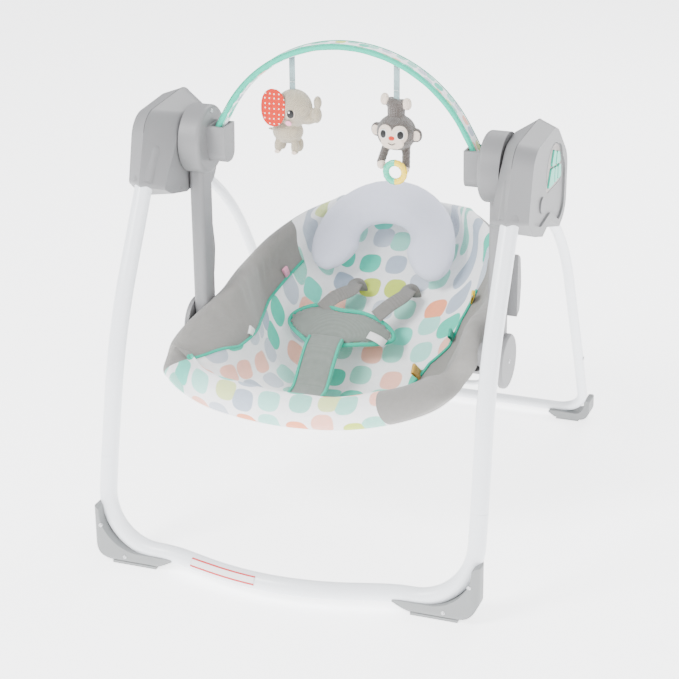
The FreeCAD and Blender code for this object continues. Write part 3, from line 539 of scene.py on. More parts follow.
# %% [markdown]
# The printed middle is bounded by a teal piping on each side. Where the boundary lies across
# each row is given at a few places, and the signed distance to it is stored on the points, so
# that the material can cut a clean line at any angle to the grid.

# %% Where the print ends and the wings begin
row_share = np.linspace(0, 1, COVER.shape[0])
row_share = 0.5 - 0.5 * np.cos(np.pi * row_share)
PRINT_LEFT = [(0.0, 0.0), (0.02, 0.012), (0.10, 0.06), (0.20, 0.105), (0.30, 0.138), (0.61, 0.140),
    (0.70, 0.15), (0.763, 0.16), (0.80, 0.075), (0.825, 0.0), (1.0, 0.0)]
PRINT_RIGHT = [(0.0, 0.80), (0.10, 0.81), (0.25, 0.70), (0.43, 0.625), (0.513, 0.663), (0.562, 0.70),
    (0.60, 0.763), (0.663, 0.80), (0.725, 0.862), (0.76, 0.93), (0.80, 1.0), (1.0, 1.0)]



def boundary(pairs):
    """Share of the way across at which the print ends, row by row, through the given pairs."""
    places, shares = np.array(pairs).T
    return np.interp(row_share, places, shares)


width = across[:, -1:]
from_left = across - boundary(PRINT_LEFT)[:, None] * width
from_right = boundary(PRINT_RIGHT)[:, None] * width - across
inside_print = np.minimum(from_left, from_right) / 1000.0
cover_uv = []
for side, sign in ((upper, 1), (lower, -1)):
    side_across, side_along = grid_lengths(side)
    cover_uv.append(np.stack([side_across - side_across[:, -1:] / 2, sign * side_along], axis=-1) / 1000.0)

# %% The cover's cloth: print inside the boundary, grey outside
def cover_dye(tree):
    """The pebble print where the signed distance to its boundary is above zero, grey cloth elsewhere."""
    surface = node(tree, "ShaderNodeUVMap", uv_map="cloth").outputs[0]
    edge = node(tree, "ShaderNodeAttribute", attribute_name="inside_print").outputs["Fac"]
    printed = node(tree, "ShaderNodeGroup", {"Vector": surface, "Size": 25.0}, node_tree=pebbles)
    is_print = maths(tree, "GREATER_THAN", edge, 0.0)
    return surface, mix_colour(tree, is_print, rgba(138, 136, 132), printed.outputs["Colour"])


cover_cloth = woven_material("seat cover cloth", cover_dye, 620.0, 0.35, 0.16, 0.6, roughness=0.88,
    sheen=0.3)

# %% Join the two sides into one closed cover
rows, columns = COVER.shape[:2]
both = np.stack([upper, lower])
quads = grid_quads(rows, columns)
quads = np.concatenate([quads, quads[:, ::-1] + rows * columns])
under_mark = np.minimum(inside_print, 0.03 - to_front / 1000.0)
seat_cover = make_piece("seat_cover", at_hubs(both), quads, cover_cloth,
                        uv=np.stack(cover_uv), marks={"inside_print": np.stack([inside_print, under_mark])})
tidy_surface(seat_cover, 2e-5)
print("seat cover", len(seat_cover.data.polygons), "faces")


def on_cover(row, share, lift=0.0):
    """A point of the cover's upper face: row and share run 0 to 1, lift is along the normal, in mm."""
    r = np.clip(np.asarray(row, float), 0, 1)
    s = np.clip(np.asarray(share, float), 0, 1)
    i = np.interp(r, row_share, np.arange(rows))
    i0 = np.minimum(i.astype(int), rows - 2)
    fi = (i - i0)[..., None]
    column_share = across / width
    points = []
    for k in (0, 1):
        line = column_share[i0 + k]
        j = np.array([np.interp(a, b, np.arange(columns)) for a, b in zip(s, line)])
        j0 = np.minimum(j.astype(int), columns - 2)
        fj = (j - j0)[:, None]
        top = upper + cloth_normal * lift
        points.append(top[i0 + k, j0] * (1 - fj) + top[i0 + k, j0 + 1] * fj)
    return points[0] * (1 - fi) + points[1] * fi


# %% [markdown]
# Piping is a cord wrapped in bias tape and sewn into a seam. It follows the boundary of the
# print a little above the cloth.

# %% Teal piping on both sides
pieces_on_seat = [seat_cover]
for side, pairs, first, last in (("left", PRINT_LEFT, 0.10, 0.763), ("right", PRINT_RIGHT, 0.30, 0.725)):
    places, shares = np.array(pairs).T
    pipe_rows = np.linspace(first, last, 110)
    line = on_cover(pipe_rows, np.interp(pipe_rows, places, shares), 1.0)
    pieces_on_seat.append(carry("piping_" + side, at_hubs(line), oval(0.0024, 0.0022, 10), (0, 0, 1),
        teal_binding))

# %% [markdown]
# ## Padded pieces
# The pillow and the waist pad are two layers of cloth sewn round the edge and filled. Each
# starts as a flat closed form, and Blender's cloth simulation with a little pressure inside
# makes the middle swell while the seam stays thin.

# %% Inflate a closed form
CLOTH_FRAMES = 20


def even_skin(piece, voxel):
    """Rebuilds a closed form, or several that overlap, as one skin of even faces."""
    remesh = piece.modifiers.new("skin", "REMESH")
    remesh.mode, remesh.voxel_size, remesh.use_smooth_shade = "VOXEL", voxel, True


def inflate(piece, voxel, pressure, cap):
    """Voxel remesh, cloth with pressure, movement capped, applied; the seams stay where they were."""
    bpy.context.view_layer.objects.active = piece
    even_skin(piece, voxel)
    apply_all(piece)
    before = points_of(piece)
    cloth = piece.modifiers.new("cloth", "CLOTH")
    cloth.settings.quality = 6
    cloth.settings.mass = 0.3
    cloth.settings.tension_stiffness = cloth.settings.compression_stiffness = 12
    cloth.settings.use_pressure = True
    cloth.settings.uniform_pressure_force = pressure
    cloth.settings.effector_weights.gravity = 0
    cloth.point_cache.frame_end = CLOTH_FRAMES
    for step in range(1, CLOTH_FRAMES + 1):
        bpy.context.scene.frame_set(step)
    apply_all(piece)
    moved = points_of(piece) - before
    far = np.linalg.norm(moved, axis=1, keepdims=True)
    set_points(piece, before + moved * np.minimum(1, cap / np.maximum(far, 1e-9)))
    bpy.context.scene.frame_set(1)
    finer = piece.modifiers.new("finer", "SUBSURF")
    finer.levels = finer.render_levels = 1
    apply_all(piece)
    return piece


def apply_all(piece):
    """Replaces a piece's mesh with what its modifiers make of it."""
    graph = bpy.context.evaluated_depsgraph_get()
    mesh = bpy.data.meshes.new_from_object(piece.evaluated_get(graph), preserve_all_data_layers=True,
        depsgraph=graph)
    piece.modifiers.clear()
    piece.data = mesh
    mesh.polygons.foreach_set("use_smooth", [True] * len(mesh.polygons))


def points_of(piece):
    flat = np.zeros(len(piece.data.vertices) * 3, np.float32)
    piece.data.vertices.foreach_get("co", flat)
    return flat.reshape(-1, 3).astype(float)


def set_points(piece, points):
    piece.data.vertices.foreach_set("co", points.astype(np.float32).ravel())
    piece.data.update()


# %% A flat cushion form from an outline
def cushion_form(name, outline, thickness, rings, material, place):
    """Rings shrink from the outline to its middle; height is thickness times sqrt(1 - ring share^2.4)."""
    outline = np.asarray(outline, float)
    middle = outline.mean(0)
    share = np.linspace(1, 0.02, rings)[:, None, None]
    flat = middle + (outline - middle)[None] * share
    rise = thickness / 2 * np.sqrt(np.clip(1 - share[..., 0] ** 2.4, 0, 1)) * np.ones((1, len(outline)))
    sides = [np.concatenate([flat, (sign * rise)[..., None]], axis=-1) for sign in (1, -1)]
    points = np.stack(sides)
    quads = grid_quads(rings, len(outline), wrap_cols=True)
    count = rings * len(outline)
    quads = np.concatenate([quads, quads[:, ::-1] + count])
    piece = make_piece(name, place(points), quads, material)
    shape = bmesh.new()
    shape.from_mesh(piece.data)
    shape.verts.ensure_lookup_table()
    for start in ((rings - 1) * len(outline), count + (rings - 1) * len(outline)):
        shape.faces.new([shape.verts[start + i] for i in range(len(outline))])
    shape.to_mesh(piece.data)
    shape.free()
    return tidy_surface(piece, 2e-5)


# %% [markdown]
# The head pillow is a horseshoe that lies on the back. Its outline runs round an arch and back
# inside it, with two round lobes at the ends.

# %% The head pillow
BACK_TILT = math.radians(47.8)


def on_back(points, middle, lift):
    """Flat points (s across, t up the back, h off it), in mm, laid on the seat's back."""
    s, t, h = np.moveaxis(np.asarray(points, float), -1, 0)
    h = h + lift
    return at_hubs(np.stack([middle[0] + s, middle[1] + t * math.cos(BACK_TILT) - h * math.sin(BACK_TILT),
                             middle[2] + t * math.sin(BACK_TILT) + h * math.cos(BACK_TILT)], axis=-1))


PILLOW_MIDDLE = (-14.0, 212.0, 341.0)
arch = np.linspace(math.radians(-36), math.radians(216), 60)
spine = np.stack([82 * np.cos(arch), 72 * np.sin(arch) - 4], axis=1)


def horseshoe(name, material):
    """Oval section carried round the arch; its size swells to the lobes and closes round at both ends."""
    run = np.linspace(0, 1, 60)
    ends = np.sqrt(np.clip(1 - (1 - np.clip(np.minimum(run, 1 - run) / 0.10, 0, 1)) ** 2, 0.0004, 1))
    size = ends * (1.0 + 0.06 * np.cos(2 * np.pi * run) ** 2)
    path = np.concatenate([spine, np.zeros((60, 1))], axis=1)
    direction = unit(np.gradient(path, axis=0))
    side = np.cross(direction, [0, 0, 1.0])
    s, t = oval(37.0, 16.0, 28, 2.3).T
    ring = s[None, :, None] * side[:, None] + t[None, :, None] * np.array([0, 0, 1.0])
    points = on_back(path[:, None] + size[:, None, None] * ring, PILLOW_MIDDLE, 24.0)
    piece = make_piece(name, points, grid_quads(60, 28, wrap_cols=True), material)
    close_ends(piece, 60, 28)
    return tidy_surface(piece)


head_pillow = inflate(horseshoe("head_pillow_soft", pillow_cloth), 0.005, 3.0, 0.005)
pieces_on_seat.append(head_pillow)

# %% [markdown]
# The waist pad is a leaf shape with a teal edge, held over the baby by the crotch strap and by
# two shoulder straps that come through the back.

# %% The waist pad, its edge and its straps
PAD_MIDDLE = (-50.0, 87.0, 257.0)
PAD_TILT = math.radians(38)


def on_pad(points, lift=0.0):
    """Flat pad points (s across, t up, h off the lap), in mm, tipped back and curved round the body."""
    s, t, h = np.moveaxis(np.asarray(points, float), -1, 0)
    h = h + lift - 0.0022 * s**2
    return at_hubs(np.stack([PAD_MIDDLE[0] + s,
                             PAD_MIDDLE[1] + t * math.cos(PAD_TILT) - h * math.sin(PAD_TILT),
                             PAD_MIDDLE[2] + t * math.sin(PAD_TILT) + h * math.cos(PAD_TILT)], axis=-1))


PAD_OUTLINE = [(-72, 20), (-40, 30), (-4, 24), (34, 24), (66, 14), (80, -2), (66, -16), (30, -28),
    (-10, -38), (-26, -40), (-44, -28), (-68, -10), (-80, 6)]
pad_outline = through(PAD_OUTLINE, 96, closed=True) * 1.08
waist_pad = cushion_form("waist_pad_soft", pad_outline, 7.0, 12, pad_cloth, on_pad)
waist_pad = inflate(waist_pad, 0.003, 2.0, 0.003)
rim_line = np.concatenate([pad_outline, np.zeros((96, 1))], axis=1)
pad_edge = carry("waist_pad_edge", on_pad(rim_line), oval(0.0034, 0.0030, 10), (0, -0.6, 0.8), teal_binding,
    closed=True)
pieces_on_seat += [waist_pad, pad_edge]


def strap(name, points_mm, half_width, half_thick, material, up):
    """A flat band: an oval section, much wider than thick, carried along a smooth line."""
    line = at_hubs(through(points_mm, 60))
    return carry(name, line, oval(half_width / 1000, half_thick / 1000, 14, 4.0), up, material)


pieces_on_seat.append(strap("crotch_strap_soft",
    [(-60, -34, 184), (-60, -8, 190), (-60, 20, 216), (-60, 44, 236), (-60, 64, 244)], 26, 3.0, pad_cloth,
     (0, -0.6, 0.8)))
for side, edge_x in (("left", -86.5), ("right", -34.0)):
    pieces_on_seat.append(strap("crotch_binding_" + side,
        [(edge_x, -32, 186), (edge_x, -8, 191), (edge_x, 20, 217), (edge_x, 44, 237), (edge_x, 60, 243)],
         2.2, 3.6, teal_binding, (0, -0.6, 0.8)))
pieces_on_seat.append(strap("shoulder_strap_left",
    [(-84, 106, 272), (-70, 122, 286), (-50, 142, 294), (-48, 160, 298), (-46, 172, 286), (-46, 182, 270)],
     12, 1.3, grey_webbing, (0, -0.7, 0.7)))
pieces_on_seat.append(strap("shoulder_strap_right",
    [(4, 106, 270), (20, 122, 284), (36, 142, 294), (40, 160, 299), (42, 172, 286), (42, 182, 270)], 12,
     1.3, grey_webbing, (0, -0.7, 0.7)))

# %% [markdown]
# Small folded ribbon tags are sewn into the piping for a baby to find. Each is one ribbon that
# leaves the seam, turns, and comes back.

# %% Ribbon tags along the piping
def ribbon_tag(name, row, share, out, length, half_width, material):
    """A loop of ribbon: out along a direction, round a half turn, and back to the seam."""
    root = on_cover([row], [share], 1.0)[0]
    out = unit(np.asarray(out, float))
    before, after = on_cover([row - 0.03], [share], 1.0)[0], on_cover([row + 0.03], [share], 1.0)[0]
    seam = unit(after - before)
    flat = unit(np.cross(seam, out))
    a = np.linspace(-math.pi / 2, math.pi / 2, 14)
    r = 2.2
    bend = root + out * (length - r + r * np.cos(a))[:, None] + flat * (r * np.sin(a))[:, None]
    path = np.concatenate([[root - flat * 0.6], bend, [root + flat * 0.6]])
    return carry(name, at_hubs(path), oval(half_width / 1000, 0.0006, 10, 4.0), flat, material)


def print_share(row, pairs):
    places, shares = np.array(pairs).T
    return float(np.interp(row, places, shares))


TAGS = [("tag_pink", 0.71, PRINT_LEFT, (-0.25, -0.35, 0.9), 17, 5, pink_ribbon),
        ("tag_white", 0.375, PRINT_LEFT, (-0.3, -0.6, 0.6), 14, 7, white_ribbon),
        ("tag_yellow", 0.70, PRINT_RIGHT, (0.3, -0.5, 0.85), 24, 5, yellow_ribbon),
        ("tag_teal", 0.62, PRINT_RIGHT, (-0.3, -0.5, 0.8), 14, 8, teal_binding),
        ("tag_gold", 0.53, PRINT_RIGHT, (-0.45, -0.5, 0.7), 20, 9, gold_ribbon)]
for title, row, pairs, out, length, half_width, material in TAGS:
    pieces_on_seat.append(ribbon_tag(title, row, print_share(row, pairs), out, length, half_width,
        material))
pad_tag_line = on_pad(np.array([(52, -12, 8), (60, -14, 10), (70, -17, 11), (80, -21, 10)], float))
pieces_on_seat.append(carry("tag_on_pad", pad_tag_line, oval(0.0065, 0.0007, 10, 4.0), (0, -0.6, 0.8),
    white_ribbon))

for piece in pieces_on_seat:
    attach(piece, "seat")
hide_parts("seat_base_pad", "seat_front_pad", "seat_back_pad", "seat_side_wing_left",
    "seat_side_wing_right",
            "seat_front_rim", "seat_back_rim")
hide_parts("head_pillow")
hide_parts("waist_pad")
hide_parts("crotch_strap")
print("pieces on the seat:", len(pieces_on_seat))

# %% [markdown]
# ## The toy bar
# A flat bar bent into an arch and covered with a printed sleeve, with a teal binding sewn along
# both edges. The arch is part of a circle that runs down into two straight pegs, so its middle
# line is worked out from the circle's radius and carried with a flat oval section.

# %% The arch and its sleeve
ARCH_RADIUS, ARCH_MIDDLE, PEG_X, PEG_END = 202.0, 513.0, 195.0, 548.0
turn = np.radians(np.linspace(-62, 62, 15))
arch_points = np.stack([ARCH_RADIUS * np.sin(turn), np.full(15, -8.0),
    ARCH_MIDDLE + ARCH_RADIUS * np.cos(turn)], axis=1)
foot_heights = np.array([PEG_END, 562.0, 577.0])
left_foot = np.stack([np.array([-PEG_X, -PEG_X, -PEG_X + 1.0]), np.full(3, -8.0), foot_heights], axis=1)
right_foot = (left_foot * [-1, 1, 1])[::-1]
arch_line = at_hubs(through(np.concatenate([left_foot, arch_points, right_foot]), 220))
middle_of_arch = at_hubs([0, -8.0, ARCH_MIDDLE])

def sleeve_dye(tree):
    """Teal binding beyond a set distance from the bar's middle line, the pebble print between."""
    surface = node(tree, "ShaderNodeUVMap", uv_map="cloth").outputs[0]
    split = node(tree, "ShaderNodeSeparateXYZ", {0: node(tree, "ShaderNodeTexCoord").outputs["Object"]})
    off_middle = maths(tree, "ABSOLUTE", maths(tree, "SUBTRACT", split.outputs[1],
        float(middle_of_arch[1])))
    binding = maths(tree, "GREATER_THAN", off_middle, BINDING_FROM)
    printed = node(tree, "ShaderNodeGroup", {"Vector": surface, "Size": 56.0}, node_tree=pebbles)
    return surface, mix_colour(tree, binding, printed.outputs["Colour"], rgba(30, 184, 154))


BINDING_FROM = 0.0118                 # metres from the bar's middle line to the binding's seam
sleeve_cloth = woven_material("toy bar sleeve cloth", sleeve_dye, 620.0, 0.35, 0.1, 0.5, roughness=0.86)


def bar_sleeve():
    """Section point (s, t): s along y, t away from the arch's middle, rippled by up to 5 percent."""
    direction = unit(np.gradient(arch_line, axis=0))
    side = np.array([0, 1.0, 0])
    outward = unit(np.cross(direction, side))
    s, t = oval(0.0138, 0.0048, 40, 3.2).T
    run = np.linspace(0, 1, len(arch_line))
    puff = 1 + 0.05 * np.sin(run * 90) * np.sin(run * 23 + 1)
    away = (t[None, :] * puff[:, None])[..., None] * outward[:, None]
    points = arch_line[:, None] + s[None, :, None] * side + away
    length = np.concatenate([[0], np.cumsum(np.linalg.norm(np.diff(arch_line, axis=0), axis=1))])
    uv = np.stack([np.broadcast_to(length[:, None], points.shape[:2]),
        np.broadcast_to(s[None] + 3.0, points.shape[:2])], axis=-1)
    piece = make_piece("toy_bar_sleeve", points, grid_quads(len(arch_line), 40, wrap_cols=True),
        sleeve_cloth, uv)
    close_ends(piece, len(arch_line), 40)
    return tidy_surface(piece)


toy_bar_sleeve = bar_sleeve()
stitches = []
for title, y in (("front", -BINDING_FROM), ("back", BINDING_FROM)):
    direction = unit(np.gradient(arch_line, axis=0))
    outward = unit(np.cross(direction, [0, 1.0, 0]))
    line = arch_line + outward * 0.0044 + np.array([0, y, 0])
    stitches.append(carry("toy_bar_seam_" + title, line[8:-8], oval(0.0007, 0.0006, 6), (0, 1, 0),
        teal_binding))
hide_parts("toy_bar")

# %% [markdown]
# ## The hanging toys
# A plush toy is a few stuffed forms sewn together. Rounded forms from a formula are laid into
# one another, a voxel remesh grows them into one skin, and a smoothing pass softens the joins,
# as the stuffing does. Flat felt parts, beads and ribbons are then added as their own pieces.

# %% Stuffed forms grown into one skin
def egg(middle, size, power=2.0, count=24):
    """Points middle + size * (cos a cos b, cos a sin b, sin a), each raised to 2/power."""
    a = np.linspace(-math.pi / 2, math.pi / 2, count)[:, None]
    b = np.linspace(0, 2 * math.pi, 2 * count, endpoint=False)[None]
    lift = lambda v: np.sign(v) * np.abs(v) ** (2 / power)
    shape = np.stack([lift(np.cos(a)) * lift(np.cos(b)), lift(np.cos(a)) * lift(np.sin(b)),
        lift(np.sin(a)) * np.ones_like(b)], axis=-1)
    return np.asarray(middle, float) + shape * np.asarray(size, float)


def stuffed(name, eggs, material, voxel=0.0013):
    """All eggs in one mesh, remeshed to a single skin and smoothed."""
    quads, points, start = [], [], 0
    for grid in eggs:
        rows, cols = grid.shape[:2]
        quads.append(grid_quads(rows, cols, wrap_cols=True) + start)
        points.append(grid.reshape(-1, 3))
        start += rows * cols
    piece = make_piece(name, at_hubs(np.concatenate(points)), np.concatenate(quads), material)
    tidy_surface(piece, 1e-6)
    even_skin(piece, voxel)
    smooth = piece.modifiers.new("soften", "SMOOTH")
    smooth.factor, smooth.iterations = 0.5, 8
    apply_all(piece)
    return piece


def felt_oval(name, middle, size, facing, thickness, material):
    """A flat oval of felt with a rounded edge; facing is the way its front looks."""
    forward = unit(np.asarray(facing, float))
    side = unit(np.cross([0, 0, 1.0], forward))
    up = np.cross(forward, side)
    grid = egg((0, 0, 0), (size[0], thickness, size[1]), 2.2)
    points = np.asarray(middle, float) + grid[..., :1] * side + grid[..., 1:2] * forward
    points = points + grid[..., 2:] * up
    piece = make_piece(name, at_hubs(points), grid_quads(*grid.shape[:2], wrap_cols=True), material)
    return tidy_surface(piece, 1e-6)


def felt_parts(toy, toy_x, rows):
    """One felt oval for each row: name, place from the toy's middle, size, facing, thickness, material."""
    return [felt_oval(f"{toy}_{part}", (toy_x + dx, TY + dy, z), *rest)
            for part, (dx, dy, z), *rest in rows]


# %% The elephant
EX, TY = -80.0, -8.0
elephant = stuffed("elephant_soft", [
    egg((EX - 8, TY, 585), (23, 17, 18)), egg((EX + 2, TY, 620), (27, 22, 27)),
    egg((EX + 22, TY, 606), (14, 10, 9)), egg((EX + 36, TY, 612), (8, 7.5, 12)),
    egg((EX + 38, TY, 630), (6, 6, 10)),
    egg((EX - 20, TY - 8, 565), (6, 6, 11)), egg((EX - 20, TY + 8, 565), (6, 6, 11)),
    egg((EX + 6, TY - 8, 564), (6.5, 6, 11)), egg((EX + 6, TY + 8, 564), (6.5, 6, 11)),
    egg((EX - 33, TY, 586), (6, 2.2, 2.2))], grey_plush)


def dotted_dye(tree):
    """White dots on red felt: a Voronoi texture in x and z, so that the dots go straight through."""
    place = node(tree, "ShaderNodeTexCoord").outputs["Object"]
    split = node(tree, "ShaderNodeSeparateXYZ", {0: place})
    flat = node(tree, "ShaderNodeCombineXYZ", {0: split.outputs[0], 1: split.outputs[2]}).outputs[0]
    dots = node(tree, "ShaderNodeTexVoronoi", {"Vector": flat, "Scale": 140.0, "Randomness": 0.15},
                voronoi_dimensions="2D").outputs["Distance"]
    return place, mix_colour(tree, maths(tree, "LESS_THAN", dots, 0.15), rgba(200, 36, 6),
        rgba(250, 236, 226))


ear_dots = woven_material("dotted ear felt", dotted_dye, 700.0, 0.4, 0.12, 0.2, sheen=0.0, specular=0.5)
ELEPHANT_FELT = [
    ("ear_front", (-22, -20, 623), (19, 27), (-0.05, -1, 0.06), 2.6, ear_dots),
    ("ear_rear", (-16, 21, 616), (14, 22), (-0.3, 1, 0.1), 2.6, grey_plush),
    ("eye_ring", (5, -21.0, 616), (6.4, 7.4), (0.05, -1, 0.05), 1.0, pale_felt),
    ("eye", (5, -22.0, 616), (5.2, 6.2), (0.05, -1, 0.05), 1.0, black_bead),
    ("eye_glint", (3, -23.0, 618.6), (1.3, 1.5), (0.05, -1, 0.05), 0.5, white_ribbon),
    ("cheek", (1, -20.4, 602), (4.6, 4.2), (0, -1, -0.35), 0.9, pink_ribbon),
    ("foot_0", (-20, -13.6, 557), (4, 2.8), (0, -1, -0.15), 0.9, pale_felt),
    ("foot_1", (6, -13.6, 557), (4, 2.8), (0, -1, -0.15), 0.9, pale_felt)]
elephant_parts = [elephant, *felt_parts("elephant", EX, ELEPHANT_FELT)]

# %% The monkey
MX = 76.0


def limb(start, end, size):
    """Five eggs in a line from start to end."""
    return [egg(np.array(start) * (1 - f) + np.array(end) * f, size) for f in np.linspace(0, 1, 5)]


monkey = stuffed("monkey_soft", [
    egg((MX, TY, 598), (28, 21, 25.5), 2.15), egg((MX - 29, TY, 600), (9, 5, 10.5)),
    egg((MX + 29, TY, 596), (9, 5, 10.5)),
    egg((MX - 1, TY + 1, 629), (12.5, 10, 17), 2.4), egg((MX - 8, TY + 1, 640), (9, 8, 8)),
    egg((MX + 8, TY + 1, 638), (9, 8, 8)),
    *limb((MX - 14, TY - 2, 579), (MX - 20, TY - 9, 556), (6.2, 6.0, 6.0)),
    *limb((MX + 15, TY - 2, 577), (MX + 17, TY - 9, 552), (6.2, 6.0, 6.0))], brown_plush)
MONKEY_FELT = [
    ("brow_left", (-10.5, -18.4, 600), (11.5, 12.5), (-0.3, -1, 0.12), 2.2, pale_felt),
    ("brow_right", (10.5, -18.4, 600), (11.5, 12.5), (0.3, -1, 0.12), 2.2, pale_felt),
    ("muzzle", (0, -18.6, 588), (17, 10.5), (0, -1, -0.2), 3.4, pale_felt),
    ("nose", (0, -22.6, 595), (4.4, 3.2), (0, -1, 0.1), 1.5, orange_felt),
    ("eye_ring_left", (-12.5, -20.4, 600), (5.8, 6.8), (-0.3, -1, 0.1), 1.0, white_ribbon),
    ("eye_ring_right", (12.5, -20.4, 600), (5.8, 6.8), (0.3, -1, 0.1), 1.0, white_ribbon),
    ("eye_left", (-12.6, -21.4, 600), (4.6, 5.6), (-0.3, -1, 0.1), 0.9, black_bead),
    ("eye_right", (12.6, -21.4, 600), (4.6, 5.6), (0.3, -1, 0.1), 0.9, black_bead),
    ("ear_left", (-30, -4.4, 600), (5.8, 7.2), (-0.15, -1, 0), 1.4, pale_felt),
    ("ear_right", (30, -4.4, 596), (5.8, 7.2), (0.15, -1, 0), 1.4, pale_felt),
    ("sole_left", (-17, -2.0, 645), (6.4, 8.6), (-0.5, -1, 0.2), 5.0, pale_felt),
    ("sole_right", (16, -2.0, 640), (6.4, 8.6), (0.5, -1, 0.2), 5.0, pale_felt),
    ("hand_left", (-19, -11.0, 553), (6.4, 7.0), (-0.2, -1, 0), 5.0, pale_felt),
    ("hand_right", (16, -11.0, 549), (6.4, 7.0), (0.2, -1, 0), 5.0, pale_felt)]
monkey_parts = [monkey, *felt_parts("monkey", MX, MONKEY_FELT)]
smile = np.array([(MX - 5, TY - 22.0, 587.6), (MX - 2, TY - 22.6, 586), (MX, TY - 22.8, 585.6),
    (MX + 2, TY - 22.6, 586), (MX + 5, TY - 22.0, 587.6)])
monkey_parts.append(carry("monkey_smile", at_hubs(through(smile, 24)), oval(0.0006, 0.0005, 6), (0, -1, 0),
    black_bead))

# %% The ring that the monkey holds, in two colours
ring_low, ring_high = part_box("teether_ring")
ring_middle = np.array((ring_low + ring_high) / 2)
ring_radius = (ring_high.x - ring_low.x) / 2 - 0.004
half_turn = np.linspace(-math.pi / 2, math.pi / 2, 40)
ring_parts = []
for title, sign, material in (("yellow", 1, ring_yellow), ("teal", -1, ring_teal)):
    arc = np.stack([sign * ring_radius * np.cos(half_turn), np.zeros(40), ring_radius * np.sin(half_turn)],
        axis=1)
    bumps = 1 + 0.10 * np.cos(half_turn * 8) ** 2
    ring_parts.append(carry("ring_" + title, ring_middle + arc, oval(0.0046, 0.0037, 14), (0, 1, 0),
        material, scale=bumps * 0.97))

# %% Woven ribbons that the toys hang on
loops = []
for title, x, length in (("elephant", EX, 26), ("monkey", MX, 24)):
    top = 513.0 + math.sqrt(196.0**2 - x**2) + 3.0
    line = at_hubs([(x, TY, 657.5), (x, TY, (657.5 + top) / 2), (x, TY, top)])
    loops.append(carry(f"ribbon_{title}", line, oval(0.0045, 0.0009, 12, 4.0), (0, -1, 0), hanging_ribbon))
    neck = at_hubs([(x, TY, 640.0), (x, TY, 648.0), (x, TY, 656.8)])
    stub = carry(f"ribbon_{title}_lower", neck, oval(0.0045, 0.0009, 12, 4.0), (0, -1, 0), hanging_ribbon)
    (elephant_parts if title == "elephant" else monkey_parts).append(stub)
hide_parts("toy_straps")
for piece in [toy_bar_sleeve, *stitches, *loops]:
    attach(piece, "toy_bar")
for piece in elephant_parts:
    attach(piece, "elephant")
for piece in monkey_parts:
    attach(piece, "monkey")
for piece in ring_parts:
    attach(piece, "teether")
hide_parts("toy_elephant")
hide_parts("toy_monkey")
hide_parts("teether_ring")
print("toy pieces", len(elephant_parts) + len(monkey_parts) + len(ring_parts))

# %% [markdown]
# ## Small details on the hard parts
# Screw heads, the thin ring round the panel, the label on the front bar and a dark line round each hub's
# seam, whose colour is painted shade of the gap between the shells, are what make moulded parts read as
# real. Each sits just proud of the CAD surface.

# %% A plain label strip on the front bar
base_tube = frame["nodes"]["front_base_tube"]
spots = np.array([base_tube.matrix_world @ v.co for v in base_tube.data.vertices]) * 1000.0
spots = spots[np.abs(spots[:, 0]) < 175.0]
bow = np.polyfit(spots[:, 0], spots[:, 1], 4)          # the middle line: y = polynomial of x
bar_x = np.linspace(-128.0, -24.0, 40)
bar_line = np.stack([bar_x, np.polyval(bow, bar_x) - HUB_LINE * 1000.0, np.full(40, spots[:, 2].mean())],
    axis=1)
print("bar's middle line", bar_line[0].round(1), bar_line[-1].round(1))


def tube_sticker(name, share_low, share_high, low, high, lift, material):
    """Part of the tube's skin: the bar's line plus (12.7 + lift) mm at angles from low to high."""
    line = bar_line[int(share_low * 39):int(share_high * 39) + 1]
    direction = unit(np.gradient(line, axis=0))
    up = np.array([0, 0, 1.0])
    out = unit(np.cross(up, direction)) * -1.0
    out = np.where(out[:, 1:2] > 0, -out, out)
    angle = np.radians(np.linspace(low, high, 14))
    ring = np.cos(angle)[None, :, None] * out[:, None] + np.sin(angle)[None, :, None] * up
    piece = make_piece(name, at_hubs(line[:, None] + ring * (12.7 + lift)), grid_quads(*ring.shape[:2]),
        material)
    solid = piece.modifiers.new("thickness", "SOLIDIFY")
    solid.thickness, solid.offset = 0.0003, 0
    apply_all(piece)
    return tidy_surface(piece, 1e-7)


label_white = hard_finish("label film", (244, 244, 244), 0.4, 300.0, 0.05, 0.02)
label_red = hard_finish("label red edge", (206, 30, 40), 0.4, 300.0, 0.05, 0.02)
details = [tube_sticker("label_film", 0.0, 1.0, 2, 58, 0.8, label_white),
           tube_sticker("label_edge_low", 0.0, 1.0, 2, 12, 1.1, label_red),
           tube_sticker("label_edge_high", 0.0, 1.0, 48, 58, 1.1, label_red)]
for piece in details:
    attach(piece, "frame")


# %% Round-headed screws from a turned profile
def turned(name, profile, middle, axis, material, count=28):
    """Each profile point goes once round the axis: middle + height * axis + radius * (cos, sin)."""
    axis = unit(np.asarray(axis, float))
    first = unit(np.cross(axis, [0.3, 0.5, 0.8]))
    second = np.cross(axis, first)
    a = np.linspace(0, 2 * math.pi, count, endpoint=False)
    around = np.cos(a)[:, None] * first + np.sin(a)[:, None] * second
    r, h = np.asarray(profile, float).T
    points = np.asarray(middle, float) + h[:, None, None] * axis + r[:, None, None] * around[None]
    piece = make_piece(name, at_hubs(points), grid_quads(len(profile), count, wrap_cols=True), material)
    close_ends(piece, len(profile), count)
    return tidy_surface(piece, 1e-7)


